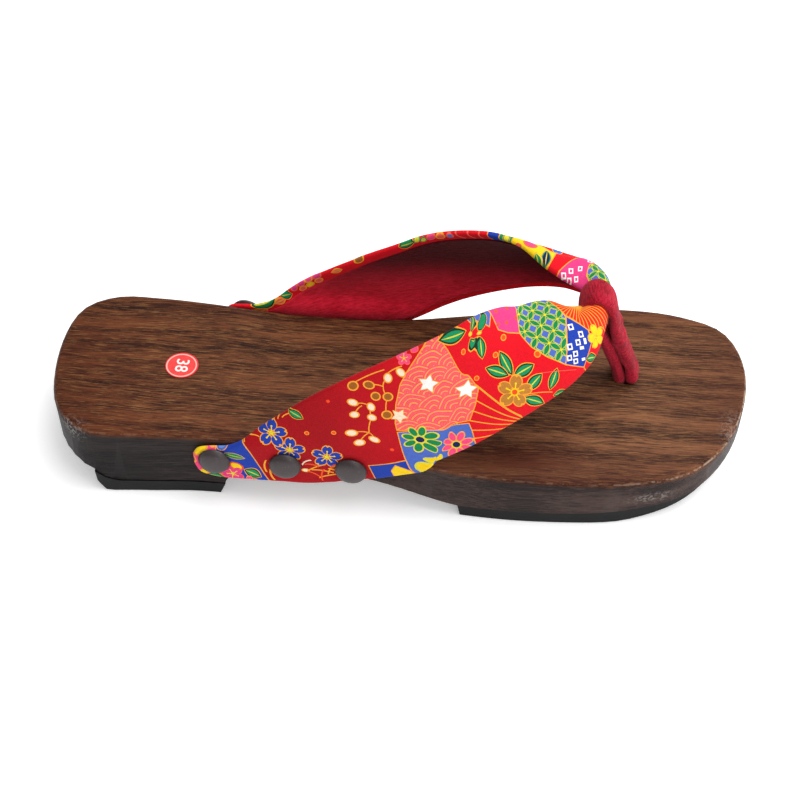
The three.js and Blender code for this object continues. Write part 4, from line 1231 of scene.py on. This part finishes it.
# %% What is printed on the inner arm
INNER_PANELS = [
    ("flat", "yellow", None, [(296, -30), (302, -27), (308, -46), (296, -46)]),
    ("ribs", "red", (326, -34, 8, 0.22), [(332, -40), (346, -44), (352, -20), (342, -22)]),
    ("flat", "magenta", None, [(353, -40), (366, -42), (371, -12), (355, -18)]),
    ("flat", "royal", None, [(374, -42), (398, -36), (404, -8), (396, -3), (377, -10)]),
    ("waves", "coral", 6, [(404, -8), (416, -6), (425, -12), (424, -30), (404, -34)]),
    ("flat", "royal", None, [(408.5, 9), (408.5, -3), (412.8, -4), (412.8, 9)]),
    ("flat", "green", None, [(412.8, 9), (412.8, -4), (417.6, -3), (417.6, 9)]),
    ("flat", "yellow", None, [(417.6, 9), (417.6, 0), (424, -4), (432, -5), (432.6, 3), (433, 10)]),
    ("flat", "magenta", None, [(436.3, 12), (436.6, 3), (437.6, -1.8), (440.5, -9), (446, -26), (462, -26),
     (462, 12)]),
    ("lattice", "green", (4, 20, 449.4, -3.8), [(444.8, -5), (446.8, -0.8), (452, 1.5), (462, 0), (462, -16),
     (447.5, -13)]),
]
INNER_MOTIFS = [
    ("leaf", "leaf", "dark", [(306, -36, 4, 1.8, 40)]),
    ("berry", "yellow", "orange", [(302, -33, 2.2, 2, 0)]),
    ("blossom", "iris", "gold", [(314, -35, 5, 5, 10), (430, -10, 5, 5, 0)]),
    ("blossom", "royal", "gold", [(325, -36, 5, 5, 40), (434, -20, 5, 5, 35)]),
    ("leaf", "green", "dark", [(320.6, -24.6, 6.2, 2, 22), (378.2, -1.4, 3.2, 1.7, 20)]),
    ("leaf", "coral", "gold", [(315, -23.6, 3.6, 1.3, 10), (326.6, -20, 3.2, 1.3, 30),
     (351, -10.8, 1.8, 0.9, 30)]),
    ("leaf", "leaf", "dark", [(331.2, -18.6, 2.8, 1.8, 42)]),
    ("berry", "magenta", "coral", [(336.4, -17.2, 1.7, 1.5, 20), (339.6, -16.2, 1.6, 1.5, 20)]),
    ("berry", "pink", "gold", [(342.4, -15.4, 1.6, 1.5, 20)]),
    ("berry", "magenta", "coral", [(345.2, -14.2, 1.7, 1.4, 20)]),
    ("berry", "coral", "gold", [(338.2, -14.2, 1.5, 1.2, 20)]),
    ("berry", "yellow", "gold", [(341, -13.2, 1.6, 1.2, 20), (418, -28.6, 1.2, 0.9, 0),
     (404, -32, 1.2, 0.9, 0)]),
    ("berry", "coral", "gold", [(344.2, -12.2, 1.5, 1.2, 20)]),
    ("stem", "gold", "gold", [(354, -11.8, 6, 0.18, 20)]),
    ("berry", "brown", "gold", [(359.4, -8.4, 2, 1.5, 20)]),
    ("berry", "orange", "gold", [(322, -30, 0.9, 0.9, 0), (333, -28, 0.9, 0.9, 0), (345, -40, 0.9, 0.9, 0),
     (426, -24, 1.2, 1.2, 0)]),
    ("berry", "cream", "gold", [(349, -30, 1.8, 1.3, 0)]),
    ("square", "magenta", "white", [(357, -22, 1, 1, 10), (361, -26, 1, 1, 10), (357, -31, 1, 1, 10),
     (362, -34, 1, 1, 10), (364, -18, 1, 1, 10), (365, -28, 1, 1, 10), (438.5, 3.4, 0.85, 0.85, -30),
     (440.2, 0.8, 0.85, 0.85, -30), (442.9, -1.6, 0.85, 0.85, -30), (440.9, 3.6, 0.85, 0.85, -30),
     (443.2, 1.9, 0.85, 0.85, -30), (439.8, 6, 0.85, 0.85, -30), (443, 5.2, 0.85, 0.85, -30),
     (443.6, -6.6, 0.85, 0.85, -30), (442.4, -9.6, 0.85, 0.85, -30)]),
    ("berry", "lemon", "leaf", [(382.4, -0.2, 1.4, 1.1, 20), (384.6, 1.2, 1.3, 1.1, 20)]),
    ("berry", "pink", "coral", [(387.6, 1.6, 1.8, 1.4, 10), (423.6, 1.2, 2.6, 1.5, -20)]),
    ("berry", "coral", "gold", [(391, 2.6, 1.8, 1.4, 10)]),
    ("berry", "sky", "coral", [(394.4, 3.2, 1.5, 1.2, 10)]),
    ("stem", "coral", "gold", [(398, 3.6, 2.4, 0.3, 60), (402, 3.8, 2.4, 0.3, 75),
     (405.8, 3.8, 2.4, 0.3, 100)]),
    ("daisy", "leaf", "lemon", [(383, -18, 8, 8, 10)]),
    ("daisy", "yellow", "gold", [(389, -30, 7.5, 7.5, 0)]),
    ("blossom", "yellow", "gold", [(395, -17, 7, 7, 20)]),
    ("blossom", "sky", "gold", [(410, 1.2, 1.4, 1.4, 0)]),
    ("leaf", "lemon", "green", [(415.4, 3.2, 2, 1, 60)]),
    ("berry", "gold", "coral", [(420.2, 4.4, 1.8, 1.2, -10)]),
    ("leaf", "navy", "leaf", [(430.6, 1.8, 2.8, 1.5, 62)]),
    ("leaf", "green", "lemon", [(428.8, 3.8, 2.4, 1.2, 30)]),
]
print("inner arm:", len(INNER_PANELS), "panels,", len(INNER_MOTIFS), "rows of motifs")

# %% [markdown]
# The whole print in one material is more than the renderer can hold at once. The strap is therefore printed
# in stretches. Their borders do not show, because each stretch prints everything that reaches into it.

# %% Stretches of the print
OUTER_STRETCHES = (-20.0, 28.0, 57.0, 80.0, 110.0, 132.0, 180.0)
INNER_STRETCHES = (280.0, 345.0, 385.0, 420.0, 480.0)
cottons = []
for label, ends, panels, motifs in (("outer", OUTER_STRETCHES, OUTER_PANELS, OUTER_MOTIFS),
                                    ("inner", INNER_STRETCHES, INNER_PANELS, INNER_MOTIFS)):
    for number, (start, end) in enumerate(zip(ends, ends[1:])):
        cotton = printed_cotton(f"printed_cotton_{label}_{number + 1}", start, end, panels, motifs)
        cottons.append((start, end, cotton))

# %% [markdown]
# Crepe is woven from hard-twisted threads that pull it into fine wrinkles. Stretched noise gives the
# wrinkles, a finer one the nap, and both share one relief. Gloss is almost absent, and a little sheen stands
# for the nap.

# %% Crepe
def crimson_crepe(name, deep, bright, wrinkle, crown):
    """Crepe cloth: its crimped threads stand in fine broken wrinkles, and a nap catches the light. Upward
    through the crown's two heights a painted shade darkens its colour, for the shade inside the strap's
    crown."""
    material, tree = new_material(name)
    cloth_map = add(tree, "UVMap", uv_map="cloth")
    stretched = add(tree, "VectorMath.MULTIPLY", cloth_map, wrinkle)
    wrinkles = add(tree, "TexNoise", {"Vector": stretched, "Scale": 1.0, "Detail": 4.0, "Roughness": 0.65})
    broad = add(tree, "TexNoise", {"Vector": cloth_map, "Scale": 0.07, "Detail": 2.0})
    nap = add(tree, "TexNoise", {"Vector": cloth_map, "Scale": 5.0, "Detail": 2.0})
    height = add(tree, "Math.MULTIPLY_ADD", nap, 0.35, wrinkles)
    share = add(tree, "Math.MULTIPLY_ADD", broad, 0.5, wrinkles)
    share = add(tree, "MapRange", share, 0.6, 0.9)
    tone = add(tree, "Mix", {0: share, 6: rgb(deep), 7: rgb(bright)}, **COLOUR)
    # Painted shade: the colour darkens with height, where the inside of the strap's crown lies in shade.
    height_up = add(tree, "VectorMath.DOT_PRODUCT", shoe_place(tree), (0, 0, 1), out=1)
    painted_crown_shade = add(tree, "MapRange", height_up, crown[0], crown[1], 0.0, 0.92, interpolation_type="SMOOTHSTEP")
    tone = add(tree, "Mix", {0: painted_crown_shade, 6: tone, 7: rgb("#2A0306")}, **COLOUR)
    lint = add(tree, "TexNoise", {"Vector": cloth_map, "Scale": 2.2, "Detail": 1.0})
    lint = add(tree, "MapRange", lint, 0.72, 0.76, 0.0, 0.4)
    tone = add(tree, "Mix", {0: lint, 6: tone, 7: rgb("#D86A74")}, **COLOUR)
    finish_surface(tree, tone, 0.95, (height, 0.8, 0.0006),
                   {"Specular IOR Level": 0.06, "Sheen Weight": 0.08})
    return material

# %% [markdown]
# The strap and the thong are padded cloth, and the lining is a flat sheet that lies folded on the strap's
# inside. The materials of the strap follow the print's stretches.

# %% Materials on the soft pieces
lining_crepe = crimson_crepe("lining_crepe", "#C41228", "#EA2840", (0.35, 1.3, 1.0), (32.0, 54.0))
thong_crepe = crimson_crepe("thong_crepe", "#7A0818", "#C41E38", (1.1, 0.6, 1.0), (90.0, 100.0))
finish_piece(strap, cottons[0][2])
for start, end, cotton in cottons[1:]:
    strap.data.materials.append(cotton)
for face in strap.data.polygons:
    x = sum(strap.data.uv_layers["cloth"].data[loop].uv[0] for loop in face.loop_indices) / face.loop_total
    face.material_index = next(i for i, (start, end, cotton) in enumerate(cottons) if start <= x < end)
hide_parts("strap")
finish_piece(lining, lining_crepe)
finish_piece(thong, thong_crepe)
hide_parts("toe_thong")

# %% [markdown]
# A round sticker lies on the heel. Its film and pale ring are one material on the CAD's disc. The plain
# number is text made into a mesh first and then laid on the label, turned to the wearer's side.

# %% Size label
LABEL_MIDDLE = (44.5, -0.6)
RING = ((-5.0, "#F2B4A8"), (-5.45, "#DC3438"))
NUMBER_SIZE = 6.4
NUMBER_TURN = math.radians(-92.0)


def label_film():
    """Coral film with a thin pale ring printed just inside its rim."""
    material, tree = new_material("label_film")
    place = shoe_place(tree)
    arm = add(tree, "VectorMath.SUBTRACT", place, (*LABEL_MIDDLE, 0.0))
    arm = add(tree, "VectorMath.MULTIPLY", arm, (1.0, 1.0, 0.0))
    radius = add(tree, "VectorMath.LENGTH", arm, out=1)
    wear = add(tree, "TexNoise", {"Vector": place, "Scale": 0.7, "Detail": 3.0})
    tone = add(tree, "Mix", {0: wear, 6: rgb("#D62A30"), 7: rgb("#EC5048")}, **COLOUR)
    inward = add(tree, "Math.MULTIPLY", radius, -1.0)
    for limit, colour in RING:
        tone = ink(tree, tone, inward, limit, rgb(colour))
    finish_surface(tree, tone, 0.45, (wear, 0.1, 0.0001), {"Specular IOR Level": 0.3})
    return material


def label_white():
    """Printed white ink, a little worn: slightly pink where the film shows through."""
    material, tree = new_material("label_white")
    wear = add(tree, "TexNoise", {"Vector": shoe_place(tree), "Scale": 1.2, "Detail": 3.0})
    tone = add(tree, "Mix", {0: wear, 6: rgb("#F0D8D0"), 7: rgb("#F8F4F0")}, **COLOUR)
    finish_surface(tree, tone, 0.5, None, {"Specular IOR Level": 0.3})
    return material


label = merged_copy("size_label", 30.0)
bpy.ops.object.select_all(action="DESELECT")
bpy.ops.object.text_add()
number = bpy.context.object
number.data.body = "38"
number.data.align_x, number.data.align_y = "CENTER", "CENTER"
number.data.size = NUMBER_SIZE
number.data.offset = 0.05
number.data.extrude = 0.02
only(number)
bpy.ops.object.convert(target="MESH")
lean = math.atan2(HEEL_TOP - TOE_TOP, BOARD_LENGTH)
lay = Matrix.Rotation(lean, 3, "Y") @ Matrix.Rotation(NUMBER_TURN, 3, "Z")
middle = at(*LABEL_MIDDLE, board_top(LABEL_MIDDLE[0]))
label_height = max(v.co.z - (board_top(v.co.x / MM + FOOTPRINT_MIDDLE[0]) * MM) for v in label.data.vertices)
middle.z += label_height + 0.01 * MM
for vertex in number.data.vertices:
    vertex.co = middle + lay @ (vertex.co * MM)
finish_piece(label, label_film())
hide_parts("size_label")
number.name = "size_number"
finish_piece(number, label_white())
print("label radius in mm:", round(label.dimensions.y / MM / 2, 2))
print("number middle in metres:", [round(v, 5) for v in middle])
